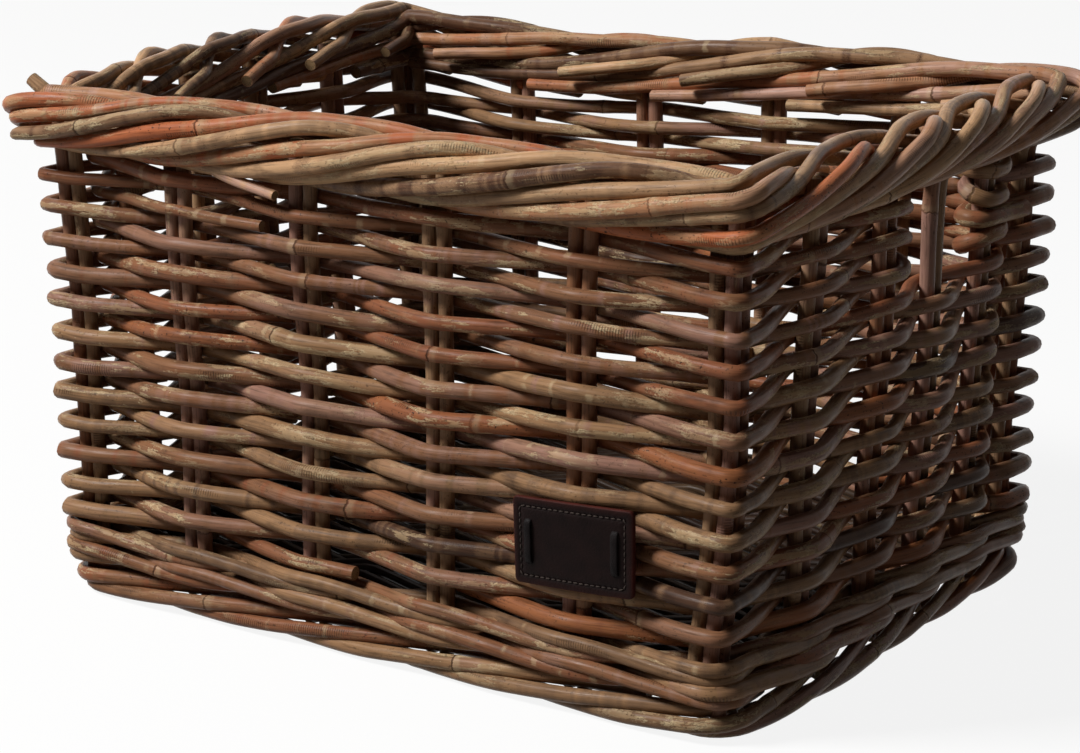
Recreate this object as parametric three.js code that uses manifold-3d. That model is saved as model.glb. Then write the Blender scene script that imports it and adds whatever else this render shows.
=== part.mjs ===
// Rectangular bicycle basket woven from thick rattan rods, with a hand hole in each short wall.
// The walls are randed: paired upright stakes, and rods that pass in front of one pair and behind the next.
// Millimetres, +Z up. The origin is on the ground under the middle; the front is the long wall at -Y.

import * as THREE from "three";
import { mergeVertices } from "three/addons/utils/BufferGeometryUtils.js";
import Module from "manifold-3d";

const wasm = await Module();
wasm.setup();

// Size of the basket, on the line through the stakes
const widthAtFoot = 367;
const widthAtRim = 390.7;
const depthAtFoot = 275.2;
const depthAtRim = 279.2;

// Rods
const weaverDiameter = 7;
const weaverSides = 6;
const stakeDiameter = 7.5;
const stakeSides = 12;
const baseStickDiameter = 7.5;

// Gaps between pieces that touch
const seatGap = 0.3;
const weaveGap = 0.5;

// Heights, from the ground up
const footBorderHeight = 16.7;
const baseWaleHeight = 20;
const rowCount = 24;
const rowPitch = 7.75;
const gapUnderRim = 6.3;
const lowerBandHeight = 19;
const upperBandHeight = 13.8;

// Where the corners and pairs of stakes stand along the front and back walls, and along the two short
// ones, anticlockwise from above, as shares of half the wall's length from its middle
const baysPerSide = 5;
const placesOnLongWalls = [-1, -0.62, -0.22, 0.175, 0.595, 1];
const placesOnShortWalls = [-1, -0.52, -0.07, 0.285, 0.67, 1];

// How far two stakes of a pair overlap, and how far past the outer one's middle a rod starts to bend
const stakeOverlap = 0.2;
const bendPastStake = 1.25;

// How many groups of stakes a row's joint moves on from the joint in the row below
const jointStepCount = 7;

// Where a rod bends at the corner stakes, as shares of its swing: round them outside, cut across inside
const roundCornerAlong = 0.45;
const roundCornerOut = 1.06;
const cutCornerAlong = 0.82;
const cutCornerIn = 0.8;

// How far the bands stand out of the stake line, and how far in
const footReachOut = 13;
const footReachIn = 9;
const baseWaleReach = 17;
const rimReachOut = 26;
const rimReachIn = 12;
const bandRounding = 5;
const underRimRounding = 3.5;
const hiddenRounding = 1;
const tightestCorner = 3;
const cornerSteps = 4;

// The strands laid over the rim, side by side. Each climbs outside, crosses the crest and comes down
// inside: bays gone since it left the stakes, share of the rim's width from inside, share of its height.
const strandsPerBayCount = 2;
const strandCourse = [
  { bays: 0.5, across: 0.54, up: 0 },
  { bays: 0.9, across: 0.75, up: 0.1 },
  { bays: 1.3, across: 0.93, up: 0.31 },
  { bays: 1.65, across: 1, up: 0.55 },
  { bays: 2, across: 0.94, up: 0.8 },
  { bays: 2.4, across: 0.72, up: 0.97 },
  { bays: 2.8, across: 0.43, up: 1 },
  { bays: 3.2, across: 0.18, up: 0.9 },
  { bays: 3.6, across: 0.03, up: 0.71 },
  { bays: 4, across: 0, up: 0.5 },
];
const strandRelief = 4.2;

// The rim's corners: their radius on the stake line, how much of the reach out of it adds to that, and
// how much of the strands' spacing half a corner takes
const rimCornerRadius = 5;
const rimCornerSpread = 0.27;
const rimCornerPace = 17;

// Base: woven over its sticks, so it is thick at each stick and thin half way between two
const baseThickness = 15;
const baseWebThickness = 5.2;
const baseHumpWidth = 9.5;
const baseStickCount = 6;
const baseCornerRadius = 4;

// Hand holes: the rods beside them, how many rows each makes, and the pairs of stakes that it
// reaches past the front corners before it turns back
const handHoleRodCount = 2;
const rowsPerRodCount = 3;
const pairsPastLeftCount = 1;
const pairsPastRightCount = 2;
const rodEndReach = 9;

// Leather label, laced to the front
const labelWidth = 65;
const labelHeight = 41;
const labelThickness = 2.6;
const labelCornerRadius = 2.5;
const labelBay = 4;
const labelShift = 5.7;
const labelLevel = 80;
const labelTilt = 3;
const laceWidth = 3.6;
const laceThickness = 1.3;
const laceSpan = 22;
const laceInset = 9;
const slotGap = 0.4;

// Sizes worked out from the ones above
const groupsAround = 4 * baysPerSide;
const handHoleRows = handHoleRodCount * rowsPerRodCount;
const handHoleStartGroup = -pairsPastLeftCount;
const handHoleEndGroup = baysPerSide + pairsPastRightCount;
const stakeRadius = stakeDiameter / 2;
const weaverRadius = weaverDiameter / 2;
const stakePitch = stakeDiameter - stakeOverlap;
const linerPitch = stakeDiameter + seatGap;
const swing = stakeRadius + weaverRadius + weaveGap;
const bendReach = stakePitch / 2 + bendPastStake;
const cornerBendReach = linerPitch + bendPastStake;
const outsideStakes = stakeRadius + weaveGap;
const baseLevel = footBorderHeight + seatGap;
const baseWaleTop = baseLevel + baseWaleHeight;
const firstRowLevel = baseWaleTop + seatGap + weaverRadius;
const lastRowLevel = firstRowLevel + (rowCount - 1) * rowPitch;
const rimLevel = lastRowLevel + weaverRadius + gapUnderRim;
const upperBandLevel = rimLevel + lowerBandHeight;
const basketHeight = upperBandLevel + seatGap + upperBandHeight;

// The four walls, anticlockwise from above: the way along each, and the way out
const walls = [
  { name: "front", along: new THREE.Vector2(1, 0), out: new THREE.Vector2(0, -1), turn: 0 },
  { name: "right", along: new THREE.Vector2(0, 1), out: new THREE.Vector2(1, 0), turn: Math.PI / 2 },
  { name: "back", along: new THREE.Vector2(-1, 0), out: new THREE.Vector2(0, 1), turn: Math.PI },
  { name: "left", along: new THREE.Vector2(0, -1), out: new THREE.Vector2(-1, 0), turn: -Math.PI / 2 },
];

const basket = new THREE.Group();

function finish(color, roughness) {
  return new THREE.MeshStandardMaterial({ color, roughness, metalness: 0 });
}

const rattanTones = [0x8f7156, 0x9b8068, 0x7c5d45, 0xa58a74, 0x86684c, 0x97644a];
const stakeTone = 0x84694f;
const bandTone = 0x917259;
const baseTone = 0x7b614a;
const leatherTone = 0x33201d;
const laceTone = 0x1f1b1a;

function add(name, geometry, material) {
  const mesh = new THREE.Mesh(geometry, material);
  mesh.name = name;
  basket.add(mesh);
  return mesh;
}

// Half the width and half the depth of the stake line at a height; the walls lean out a little
function halfSizes(z) {
  const share = z / basketHeight;
  return {
    x: (widthAtFoot + (widthAtRim - widthAtFoot) * share) / 2,
    y: (depthAtFoot + (depthAtRim - depthAtFoot) * share) / 2,
  };
}

// The place on the stake line at a height, a number of bays along a wall
function onStakeLine(wall, bays, z) {
  const half = halfSizes(z);
  const { along, out } = walls[wall];
  const reach = Math.abs(along.x) * half.x + Math.abs(along.y) * half.y;
  const distance = Math.abs(out.x) * half.x + Math.abs(out.y) * half.y;
  const places = wall % 2 === 0 ? placesOnLongWalls : placesOnShortWalls;
  return new THREE.Vector2().addScaledVector(out, distance).addScaledVector(along, reach * places[bays]);
}

// A point beside a place: so far along the wall, so far out of it, at height z
function beside(place, along, alongBy, out, outBy, z) {
  const flat = place.clone().addScaledVector(along, alongBy).addScaledVector(out, outBy);
  return new THREE.Vector3(flat.x, flat.y, z);
}

// The corners of a rod's section, one of them on top; it is as wide and as high as the rod is thick
function rodSection(diameter, sides) {
  const corners = [];
  for (let k = 0; k < sides; k++) {
    const angle = Math.PI / 2 + (2 * Math.PI * k) / sides;
    corners.push({ across: Math.cos(angle), rise: Math.sin(angle) });
  }
  const widest = Math.max(...corners.map((corner) => corner.across));
  return corners.map(({ across, rise }) => ({
    across: (diameter / 2) * (across / widest),
    rise: (diameter / 2) * rise,
  }));
}

// A rod through the points of a path, mitred at each bend so that it keeps its thickness
function rodGeometry(path, diameter, sides) {
  const up = new THREE.Vector3(0, 0, 1);
  const section = rodSection(diameter, sides);
  const positions = [];
  path.forEach((point, i) => {
    const isEnd = i === 0 || i === path.length - 1;
    const before = path[Math.max(i - 1, 0)];
    const after = path[Math.min(i + 1, path.length - 1)];
    const arriving = point.clone().sub(before).normalize();
    const leaving = after.clone().sub(point).normalize();
    const tangent = arriving.clone().add(leaving).normalize();
    const mitre = isEnd ? 1 : 1 / arriving.dot(tangent);
    const across = up.clone().cross(tangent).normalize();
    const rise = tangent.clone().cross(across);
    for (const corner of section) {
      const at = point.clone();
      at.addScaledVector(across, corner.across * mitre).addScaledVector(rise, corner.rise);
      positions.push(at.x, at.y, at.z);
    }
  });
  const faces = [];
  for (let i = 0; i + 1 < path.length; i++) {
    for (let k = 0; k < sides; k++) {
      const here = i * sides + k;
      const beyond = i * sides + ((k + 1) % sides);
      faces.push(here, beyond, beyond + sides, here, beyond + sides, here + sides);
    }
  }
  const last = (path.length - 1) * sides;
  for (let k = 1; k + 1 < sides; k++) {
    faces.push(0, k + 1, k);
    faces.push(last, last + k, last + k + 1);
  }
  const geometry = new THREE.BufferGeometry();
  geometry.setAttribute("position", new THREE.Float32BufferAttribute(positions, 3));
  geometry.setIndex(faces);
  return geometry;
}

// Whether a row passes outside a group of stakes; neighbouring rows and groups are opposite
function passesOutside(row, group) {
  return (row + group + 2 * groupsAround) % 2 === 0;
}

function rowLevel(row) {
  return firstRowLevel + row * rowPitch;
}

// The points where a row's rod bends at a group of stakes: a pair on a wall, or the three at a corner
function bendsAtGroup(row, group) {
  const z = rowLevel(row);
  const place = (group + groupsAround) % groupsAround;
  const wall = Math.floor(place / baysPerSide);
  const bays = place % baysPerSide;
  const { along, out } = walls[wall];
  const outside = passesOutside(row, group);
  const centre = onStakeLine(wall, bays, z);
  if (bays > 0) {
    const side = outside ? swing : -swing;
    return [
      beside(centre, along, -bendReach, out, side, z),
      beside(centre, along, bendReach, out, side, z),
    ];
  }
  const before = walls[(wall + walls.length - 1) % walls.length];
  if (!outside) {
    const back = linerPitch + cutCornerAlong * swing;
    const inward = -cutCornerIn * swing;
    return [
      beside(centre, before.along, -back, before.out, inward, z),
      beside(centre, along, back, out, inward, z),
    ];
  }
  const near = roundCornerAlong * swing;
  const outward = roundCornerOut * swing;
  return [
    beside(centre, before.along, -cornerBendReach, before.out, swing, z),
    beside(centre, before.along, near, before.out, outward, z),
    beside(centre, along, -near, out, outward, z),
    beside(centre, along, cornerBendReach, out, swing, z),
  ];
}

// A row that goes all the way round, its two cut ends meeting behind a pair of stakes
function fullRow(row) {
  let start = (row * jointStepCount + 1) % groupsAround;
  if (start % baysPerSide === 0) start = (start + 2) % groupsAround;
  const wall = Math.floor(start / baysPerSide);
  const { along, out } = walls[wall];
  const z = rowLevel(row);
  const centre = onStakeLine(wall, start % baysPerSide, z);
  const path = [beside(centre, along, weaveGap, out, -swing, z), bendsAtGroup(row, start)[1]];
  for (let step = 1; step < groupsAround; step++) path.push(...bendsAtGroup(row, start + step));
  path.push(bendsAtGroup(row, start)[0], beside(centre, along, -weaveGap, out, -swing, z));
  return path;
}

// The turn of a hand hole's rod round its last pair of stakes, one row up to the other side
function turnRound(row, group, forwards) {
  const place = (group + groupsAround) % groupsAround;
  const wall = Math.floor(place / baysPerSide);
  const { along, out } = walls[wall];
  const side = (passesOutside(row, group) ? 1 : -1) * swing;
  const ahead = forwards ? 1 : -1;
  const turns = [];
  for (const angle of [Math.PI / 4, Math.PI / 2, (3 * Math.PI) / 4]) {
    const z = rowLevel(row) + (rowPitch * angle) / Math.PI;
    const centre = onStakeLine(wall, place % baysPerSide, z);
    const reach = ahead * (bendReach + swing * Math.sin(angle));
    turns.push(beside(centre, along, reach, out, side * Math.cos(angle), z));
  }
  return turns;
}

// The straight end of a rod that stops just past a pair of stakes
function rodEnd(row, group, forwards) {
  const place = (group + groupsAround) % groupsAround;
  const wall = Math.floor(place / baysPerSide);
  const { along, out } = walls[wall];
  const z = rowLevel(row);
  const side = passesOutside(row, group) ? swing : -swing;
  const centre = onStakeLine(wall, place % baysPerSide, z);
  return beside(centre, along, (forwards ? 1 : -1) * rodEndReach, out, side, z);
}

// One rod that goes to and fro between the two hand holes, turning back at each
function handHoleWeaver(firstRow) {
  const lastRow = firstRow + rowsPerRodCount - 1;
  const path = [rodEnd(firstRow, handHoleEndGroup, true)];
  for (let row = firstRow; row <= lastRow; row++) {
    const forwards = (row - firstRow) % 2 === 1;
    const from = forwards ? handHoleStartGroup : handHoleEndGroup;
    const to = forwards ? handHoleEndGroup : handHoleStartGroup;
    const step = forwards ? 1 : -1;
    for (let group = from; group !== to + step; group += step) {
      const bends = bendsAtGroup(row, group);
      path.push(...(forwards ? bends : bends.reverse()));
    }
    if (row < lastRow) path.push(...turnRound(row, to, forwards));
    else path.push(rodEnd(row, to, forwards));
  }
  return path;
}

// A closed band round the basket. Its outline is a list of [reach out of the stake line, height].
function bandGeometry(outline) {
  const cornerSigns = [[1, -1], [1, 1], [-1, 1], [-1, -1]];
  const pointsAround = cornerSigns.length * (cornerSteps + 1);
  const positions = [];
  for (const [reach, z] of outline) {
    const half = halfSizes(z);
    const radius = Math.max(reach, tightestCorner);
    cornerSigns.forEach(([signX, signY], corner) => {
      for (let step = 0; step <= cornerSteps; step++) {
        const angle = (corner - 1 + step / cornerSteps) * (Math.PI / 2);
        positions.push(
          signX * (half.x + reach - radius) + radius * Math.cos(angle),
          signY * (half.y + reach - radius) + radius * Math.sin(angle),
          z,
        );
      }
    });
  }
  const faces = [];
  outline.forEach((_, ring) => {
    const here = ring * pointsAround;
    const next = ((ring + 1) % outline.length) * pointsAround;
    for (let i = 0; i < pointsAround; i++) {
      const j = (i + 1) % pointsAround;
      faces.push(here + i, here + j, next + j, here + i, next + j, next + i);
    }
  });
  const geometry = new THREE.BufferGeometry();
  geometry.setAttribute("position", new THREE.Float32BufferAttribute(positions, 3));
  geometry.setIndex(faces);
  return geometry;
}

// A band's outline: a block with its four edges rounded off, from the inside bottom, anticlockwise
function bandOutline(inner, outer, bottom, top, rounding) {
  return [
    [inner + rounding.innerBottom, bottom],
    [outer - rounding.outerBottom, bottom],
    [outer, bottom + rounding.outerBottom],
    [outer, top - rounding.outerTop],
    [outer - rounding.outerTop, top],
    [inner + rounding.innerTop, top],
    [inner, top - rounding.innerTop],
    [inner, bottom + rounding.innerBottom],
  ];
}

// A place on the rim, a number of bays round the basket. The strands spread out round its corners.
function onRim(bays, reach, z) {
  const place = (bays + groupsAround) % groupsAround;
  const { along, out } = walls[Math.floor(place / baysPerSide)];
  const half = halfSizes(z);
  const radius = Math.max(rimCornerRadius + rimCornerSpread * reach, tightestCorner);
  const straight = Math.abs(along.x) * half.x + Math.abs(along.y) * half.y + reach - radius;
  const distance = Math.abs(out.x) * half.x + Math.abs(out.y) * half.y + reach - radius;
  const travelled = (straight + rimCornerPace) * ((2 * (place % baysPerSide)) / baysPerSide - 1);
  const onStraight = THREE.MathUtils.clamp(travelled, -straight, straight);
  const angle = ((travelled - onStraight) / rimCornerPace) * (Math.PI / 4);
  const centre = new THREE.Vector2().addScaledVector(along, onStraight).addScaledVector(out, distance);
  return beside(centre, along, radius * Math.sin(angle), out, radius * Math.cos(angle), z);
}

// The points of the rim's lines, loop by loop: the crown of each strand, and the furrow beside it.
// The first loop lies under the rim and the last one inside, and neither is furrowed.
function rimLoops() {
  const lineCount = 2 * strandsPerBayCount * groupsAround;
  const course = strandCourse.map(({ bays, across, up }) => ({
    bays,
    reach: across * (rimReachOut + rimReachIn) - rimReachIn,
    z: rimLevel + up * (basketHeight - rimLevel),
  }));
  return course.map(({ bays, reach, z }, i) => {
    const isEnd = i === 0 || i === course.length - 1;
    const before = course[Math.max(i - 1, 0)];
    const after = course[Math.min(i + 1, course.length - 1)];
    const outOfRim = new THREE.Vector2(after.z - before.z, before.reach - after.reach).normalize();
    const loop = [];
    for (let line = 0; line < lineCount; line++) {
      const depth = line % 2 === 0 || isEnd ? 0 : strandRelief;
      const start = (line / lineCount) * groupsAround;
      loop.push(onRim(start + bays, reach - depth * outOfRim.x, z - depth * outOfRim.y));
    }
    return loop;
  });
}

// The rim in one piece: its strands, closed below by a flat underside
function rimGeometry() {
  const loops = rimLoops();
  const lineCount = loops[0].length;
  const bayLines = lineCount / groupsAround;
  const gone = Math.round((strandCourse[strandCourse.length - 1].bays - strandCourse[0].bays) * bayLines);
  const inner = loops[loops.length - 1].map((_, line) => {
    const bays = line / bayLines + strandCourse[strandCourse.length - 1].bays;
    return onRim(bays, underRimRounding - rimReachIn, rimLevel);
  });
  loops.push(inner);
  const positions = loops.flatMap((loop) => loop.flatMap((point) => point.toArray()));
  const faces = [];
  for (let i = 0; i < loops.length; i++) {
    const isLast = i === loops.length - 1;
    for (let line = 0; line < lineCount; line++) {
      const next = (line + 1) % lineCount;
      const above = isLast ? (line + gone) % lineCount : (i + 1) * lineCount + line;
      const nextAbove = isLast ? (next + gone) % lineCount : (i + 1) * lineCount + next;
      faces.push(i * lineCount + line, i * lineCount + next, above);
      faces.push(i * lineCount + next, nextAbove, above);
    }
  }
  const geometry = new THREE.BufferGeometry();
  geometry.setAttribute("position", new THREE.Float32BufferAttribute(positions, 3));
  geometry.setIndex(faces);
  return geometry;
}

// Two stakes side by side, pressed together, as one outline with a clearance round it
function pairShape(clearance) {
  const half = stakePitch / 2;
  const radius = stakeRadius + clearance;
  const notch = Math.acos(half / radius);
  const shape = new THREE.Shape();
  shape.absarc(-half, 0, radius, notch, 2 * Math.PI - notch, false);
  shape.absarc(half, 0, radius, notch - Math.PI, Math.PI - notch, false);
  return shape;
}

function singleShape(clearance) {
  const shape = new THREE.Shape();
  shape.absarc(0, 0, stakeRadius + clearance, 0, 2 * Math.PI, false);
  return shape;
}

// Where each stake stands: its wall, how many bays along, and a shift along the wall from there
function stakePlaces() {
  const places = [];
  walls.forEach((wall, side) => {
    for (let bays = 1; bays < baysPerSide; bays++) {
      places.push({ name: "stakes_" + wall.name + "_" + bays, shape: pairShape, side, bays, shift: 0 });
    }
  });
  for (const side of [0, 2]) {
    const before = (side + walls.length - 1) % walls.length;
    const after = side + 1;
    const start = walls[side].name + "_" + walls[before].name;
    const end = walls[side].name + "_" + walls[after].name;
    const nearStart = { bays: 0, shift: stakePitch / 2 };
    const nearEnd = { bays: baysPerSide, shift: -stakePitch / 2 };
    places.push({ name: "corner_stakes_" + start, shape: pairShape, side, ...nearStart });
    places.push({ name: "corner_stakes_" + end, shape: pairShape, side, ...nearEnd });
    const linerBefore = { side: before, bays: baysPerSide, shift: -linerPitch };
    const linerAfter = { side: after, bays: 0, shift: linerPitch };
    places.push({ name: "corner_liner_" + start, shape: singleShape, ...linerBefore });
    places.push({ name: "corner_liner_" + end, shape: singleShape, ...linerAfter });
  }
  return places;
}

// A stake, or with a clearance the channel that it passes through. It leans with its wall.
function stakeGeometry({ shape, side, bays, shift }, bottom, top, clearance) {
  const { along, out, turn } = walls[side];
  const foot = onStakeLine(side, bays, bottom);
  const lean = onStakeLine(side, bays, top).sub(foot).divideScalar(top - bottom);
  const geometry = new THREE.ExtrudeGeometry(shape(clearance), {
    depth: top - bottom,
    bevelEnabled: false,
    curveSegments: stakeSides / 2,
  });
  geometry.rotateZ(turn);
  geometry.applyMatrix4(new THREE.Matrix4().makeShear(0, 0, 0, 0, lean.x, lean.y));
  const at = beside(foot, along, shift, out, 0, bottom);
  return geometry.translate(at.x, at.y, at.z);
}

// A closed geometry as a solid that can be cut
function solidFrom(geometry) {
  const bare = geometry.clone();
  bare.deleteAttribute("normal");
  bare.deleteAttribute("uv");
  const merged = mergeVertices(bare, 1e-4);
  return new wasm.Manifold(
    new wasm.Mesh({
      numProp: 3,
      vertProperties: new Float32Array(merged.attributes.position.array),
      triVerts: new Uint32Array(merged.index.array),
    }),
  );
}

function geometryFrom(solid) {
  const mesh = solid.getMesh();
  const geometry = new THREE.BufferGeometry();
  geometry.setAttribute("position", new THREE.BufferAttribute(mesh.vertProperties, 3));
  geometry.setIndex(new THREE.BufferAttribute(mesh.triVerts, 1));
  return geometry;
}

function roundedRectangle(width, height, radius) {
  const x = width / 2 - radius;
  const y = height / 2 - radius;
  const shape = new THREE.Shape();
  shape.absarc(x, y, radius, 0, Math.PI / 2, false);
  shape.absarc(-x, y, radius, Math.PI / 2, Math.PI, false);
  shape.absarc(-x, -y, radius, Math.PI, 1.5 * Math.PI, false);
  shape.absarc(x, -y, radius, 1.5 * Math.PI, 2 * Math.PI, false);
  return shape;
}

// The base seen from the front: full thickness at each stick, and thinner half way between two
function basePlank(width, depth, stickPlaces) {
  const upperEdge = [[-width / 2, baseWebThickness / 2]];
  stickPlaces.forEach((x, i) => {
    upperEdge.push([x - baseHumpWidth / 2, baseThickness / 2], [x + baseHumpWidth / 2, baseThickness / 2]);
    const next = i + 1 < stickPlaces.length ? (x + stickPlaces[i + 1]) / 2 : width / 2;
    upperEdge.push([next, baseWebThickness / 2]);
  });
  const lowerEdge = upperEdge.map(([x, z]) => [x, -z]).reverse();
  const outline = [...lowerEdge, ...upperEdge].map(([x, z]) => new THREE.Vector2(x, z));
  const plank = new THREE.ExtrudeGeometry(new THREE.Shape(outline), { depth, bevelEnabled: false });
  return plank.translate(0, 0, -depth / 2).rotateX(Math.PI / 2);
}

// The woven base, a closed panel between the stakes, with a channel for each stick that it is woven on
function addBase() {
  const half = halfSizes(baseLevel);
  const width = 2 * (half.x - outsideStakes);
  const depth = 2 * (half.y - outsideStakes);
  const stickLevel = baseLevel + baseThickness / 2;
  const stickPlaces = [];
  for (let i = 0; i < baseStickCount; i++) stickPlaces.push(width * ((i + 0.5) / baseStickCount - 0.5));
  const plan = new THREE.ExtrudeGeometry(roundedRectangle(width, depth, baseCornerRadius), {
    depth: baseThickness,
    bevelEnabled: false,
    curveSegments: 3,
  });
  plan.translate(0, 0, baseLevel);
  const bore = new THREE.CylinderGeometry(
    baseStickDiameter / 2 + seatGap,
    baseStickDiameter / 2 + seatGap,
    depth + 2 * outsideStakes,
    stakeSides,
  );
  const stick = new THREE.CylinderGeometry(baseStickDiameter / 2, baseStickDiameter / 2, depth, stakeSides);
  const plank = basePlank(width, depth + outsideStakes, stickPlaces).translate(0, 0, stickLevel);
  let solid = solidFrom(plan).intersect(solidFrom(plank));
  stickPlaces.forEach((x, i) => {
    solid = solid.subtract(solidFrom(bore.clone().translate(x, 0, stickLevel)));
    const mesh = add("base_stick_" + (i + 1), stick, finish(stakeTone, 0.75));
    mesh.position.set(x, 0, stickLevel);
  });
  add("base_panel", geometryFrom(solid), finish(baseTone, 0.75));
}

// The bands at the foot: the border that the basket stands on, and the wale above it
function addBands() {
  const foot = bandOutline(-footReachIn, footReachOut, 0, footBorderHeight, {
    innerBottom: bandRounding,
    outerBottom: bandRounding,
    outerTop: bandRounding,
    innerTop: hiddenRounding,
  });
  const wale = bandOutline(outsideStakes, baseWaleReach, baseLevel, baseWaleTop, {
    innerBottom: hiddenRounding,
    outerBottom: bandRounding,
    outerTop: bandRounding,
    innerTop: hiddenRounding,
  });
  add("foot_border", bandGeometry(foot), finish(bandTone, 0.7));
  add("base_wale", bandGeometry(wale), finish(bandTone, 0.7));
}

// The rim: strands side by side, in two bands. The lower one has a channel for each stake.
function addRim() {
  const rim = solidFrom(rimGeometry());
  const upper = rim.trimByPlane([0, 0, 1], upperBandLevel + seatGap);
  let lower = rim.trimByPlane([0, 0, -1], -upperBandLevel);
  for (const place of stakePlaces()) {
    const channel = stakeGeometry(place, lastRowLevel, basketHeight, weaveGap);
    lower = lower.subtract(solidFrom(channel));
  }
  add("rim_lower_band", geometryFrom(lower), finish(bandTone, 0.65));
  add("rim_upper_band", geometryFrom(upper), finish(bandTone, 0.65));
}

// The stakes stand on the foot border and end under the rim's upper band
function addStakes() {
  for (const place of stakePlaces()) {
    add(place.name, stakeGeometry(place, baseLevel, upperBandLevel, 0), finish(stakeTone, 0.7));
  }
}

// The rows of the weave; the top ones stop at the hand holes
function addWeavers() {
  for (let row = 0; row < rowCount - handHoleRows; row++) {
    const tone = rattanTones[(5 * row) % rattanTones.length];
    const name = "weaver_" + String(row + 1).padStart(2, "0");
    add(name, rodGeometry(fullRow(row), weaverDiameter, weaverSides), finish(tone, 0.7));
  }
  for (let i = 0; i < handHoleRodCount; i++) {
    const firstRow = rowCount - handHoleRows + i * rowsPerRodCount;
    const toAndFro = rodGeometry(handHoleWeaver(firstRow), weaverDiameter, weaverSides);
    add("hand_hole_weaver_front_" + (i + 1), toAndFro, finish(rattanTones[i], 0.7));
    const behind = add("hand_hole_weaver_back_" + (i + 1), toAndFro, finish(rattanTones[i + 2], 0.7));
    behind.rotation.z = Math.PI;
  }
}

// How far a front rod's middle stands out of the stake line, so far along from the label's stakes
function swingAt(alongBy, z) {
  const start = alongBy < 0 ? labelBay - 1 : labelBay;
  const bay = halfSizes(z).x * (placesOnLongWalls[start + 1] - placesOnLongWalls[start]);
  const share = Math.max(Math.abs(alongBy) - bendReach, 0) / (bay - 2 * bendReach);
  return swing * (1 - 2 * share);
}

// The leather label, flat against the front rods, and its two laces
function addLabel() {
  const slotWidth = laceWidth + 2 * slotGap;
  const slotHeight = laceThickness + 2 * slotGap;
  const laceReach = labelWidth / 2 - laceInset;
  const slotLevel = (laceSpan - laceThickness) / 2;
  const blank = new THREE.ExtrudeGeometry(roundedRectangle(labelWidth, labelHeight, labelCornerRadius), {
    depth: labelThickness,
    bevelEnabled: false,
    curveSegments: 4,
  });
  const slot = new THREE.BoxGeometry(slotWidth, slotHeight, 4 * labelThickness);
  let leather = solidFrom(blank);
  for (const x of [-laceReach, laceReach]) {
    for (const y of [-slotLevel, slotLevel]) {
      leather = leather.subtract(solidFrom(slot.clone().translate(x, y, 0)));
    }
  }

  // The label's own frame: x along the wall, y up the label, z out of the wall, from the label's back
  const top = labelLevel + labelHeight / 2;
  const stakes = onStakeLine(0, labelBay, labelLevel);
  const backReach = halfSizes(top).y + swing + weaverRadius + seatGap;
  const frame = new THREE.Group();
  frame.position.set(stakes.x + labelShift, -backReach, labelLevel);
  frame.rotation.x = Math.PI / 2;
  const tilted = new THREE.Group();
  tilted.rotation.z = THREE.MathUtils.degToRad(labelTilt);
  frame.add(tilted);
  basket.add(frame);
  const label = new THREE.Mesh(geometryFrom(leather), finish(leatherTone, 0.55));
  label.name = "label";
  tilted.add(label);

  // Each lace is a staple: a bar on the label's face, and two legs back through the slots to the rods
  for (const [name, side] of [["left", -1], ["right", 1]]) {
    const x = side * laceReach;
    const rods = halfSizes(labelLevel).y + swingAt(labelShift + x, labelLevel) + weaverRadius;
    const legReach = backReach - rods - weaveGap;
    const outerFace = labelThickness + seatGap + laceThickness;
    const staple = new THREE.Shape();
    staple.moveTo(-legReach, -laceSpan / 2);
    staple.lineTo(outerFace, -laceSpan / 2);
    staple.lineTo(outerFace, laceSpan / 2);
    staple.lineTo(-legReach, laceSpan / 2);
    staple.lineTo(-legReach, laceSpan / 2 - laceThickness);
    staple.lineTo(outerFace - laceThickness, laceSpan / 2 - laceThickness);
    staple.lineTo(outerFace - laceThickness, laceThickness - laceSpan / 2);
    staple.lineTo(-legReach, laceThickness - laceSpan / 2);
    staple.closePath();
    const strip = new THREE.ExtrudeGeometry(staple, { depth: laceWidth, bevelEnabled: false });
    strip.translate(0, 0, -laceWidth / 2);
    strip.rotateY(-Math.PI / 2);
    const lace = new THREE.Mesh(strip, finish(laceTone, 0.5));
    lace.name = "label_lace_" + name;
    lace.position.x = x;
    tilted.add(lace);
  }
}

addBands();
addRim();
addBase();
addStakes();
addWeavers();
addLabel();

export default basket;
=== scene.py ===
"""Bicycle basket woven from thick rattan rods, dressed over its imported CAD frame.

Every part of the basket is a rod that follows a path, so one Geometry Nodes tree grows them all:
it smooths the path, gives the rod its knots and lumps, and writes where each point lies along the
rod and in its section, which is what the rattan finishes read. Paths are worked out in millimetres
in the frame of the CAD, and the meshes are in metres.
"""
import logging
import math
import random
from dataclasses import dataclass, field
from enum import Enum
from functools import partial

import bpy
import numpy as np
from mathutils import Matrix, Vector


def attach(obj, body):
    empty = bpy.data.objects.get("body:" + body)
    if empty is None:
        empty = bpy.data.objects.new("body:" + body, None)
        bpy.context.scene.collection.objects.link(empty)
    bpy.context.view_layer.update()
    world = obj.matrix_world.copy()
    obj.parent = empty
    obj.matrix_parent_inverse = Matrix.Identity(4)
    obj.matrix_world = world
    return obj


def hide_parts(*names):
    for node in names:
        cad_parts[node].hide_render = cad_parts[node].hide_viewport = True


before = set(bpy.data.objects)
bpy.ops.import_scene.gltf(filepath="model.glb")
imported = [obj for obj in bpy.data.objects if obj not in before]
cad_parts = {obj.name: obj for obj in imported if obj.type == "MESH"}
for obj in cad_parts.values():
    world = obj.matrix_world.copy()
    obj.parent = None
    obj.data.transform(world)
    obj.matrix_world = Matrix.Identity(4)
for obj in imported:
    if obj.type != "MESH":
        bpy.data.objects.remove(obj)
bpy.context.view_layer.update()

MM = 0.001
BODY = "root"
BAYS = 5
GROUPS = 4 * BAYS
Node = bpy.types.Node
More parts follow.
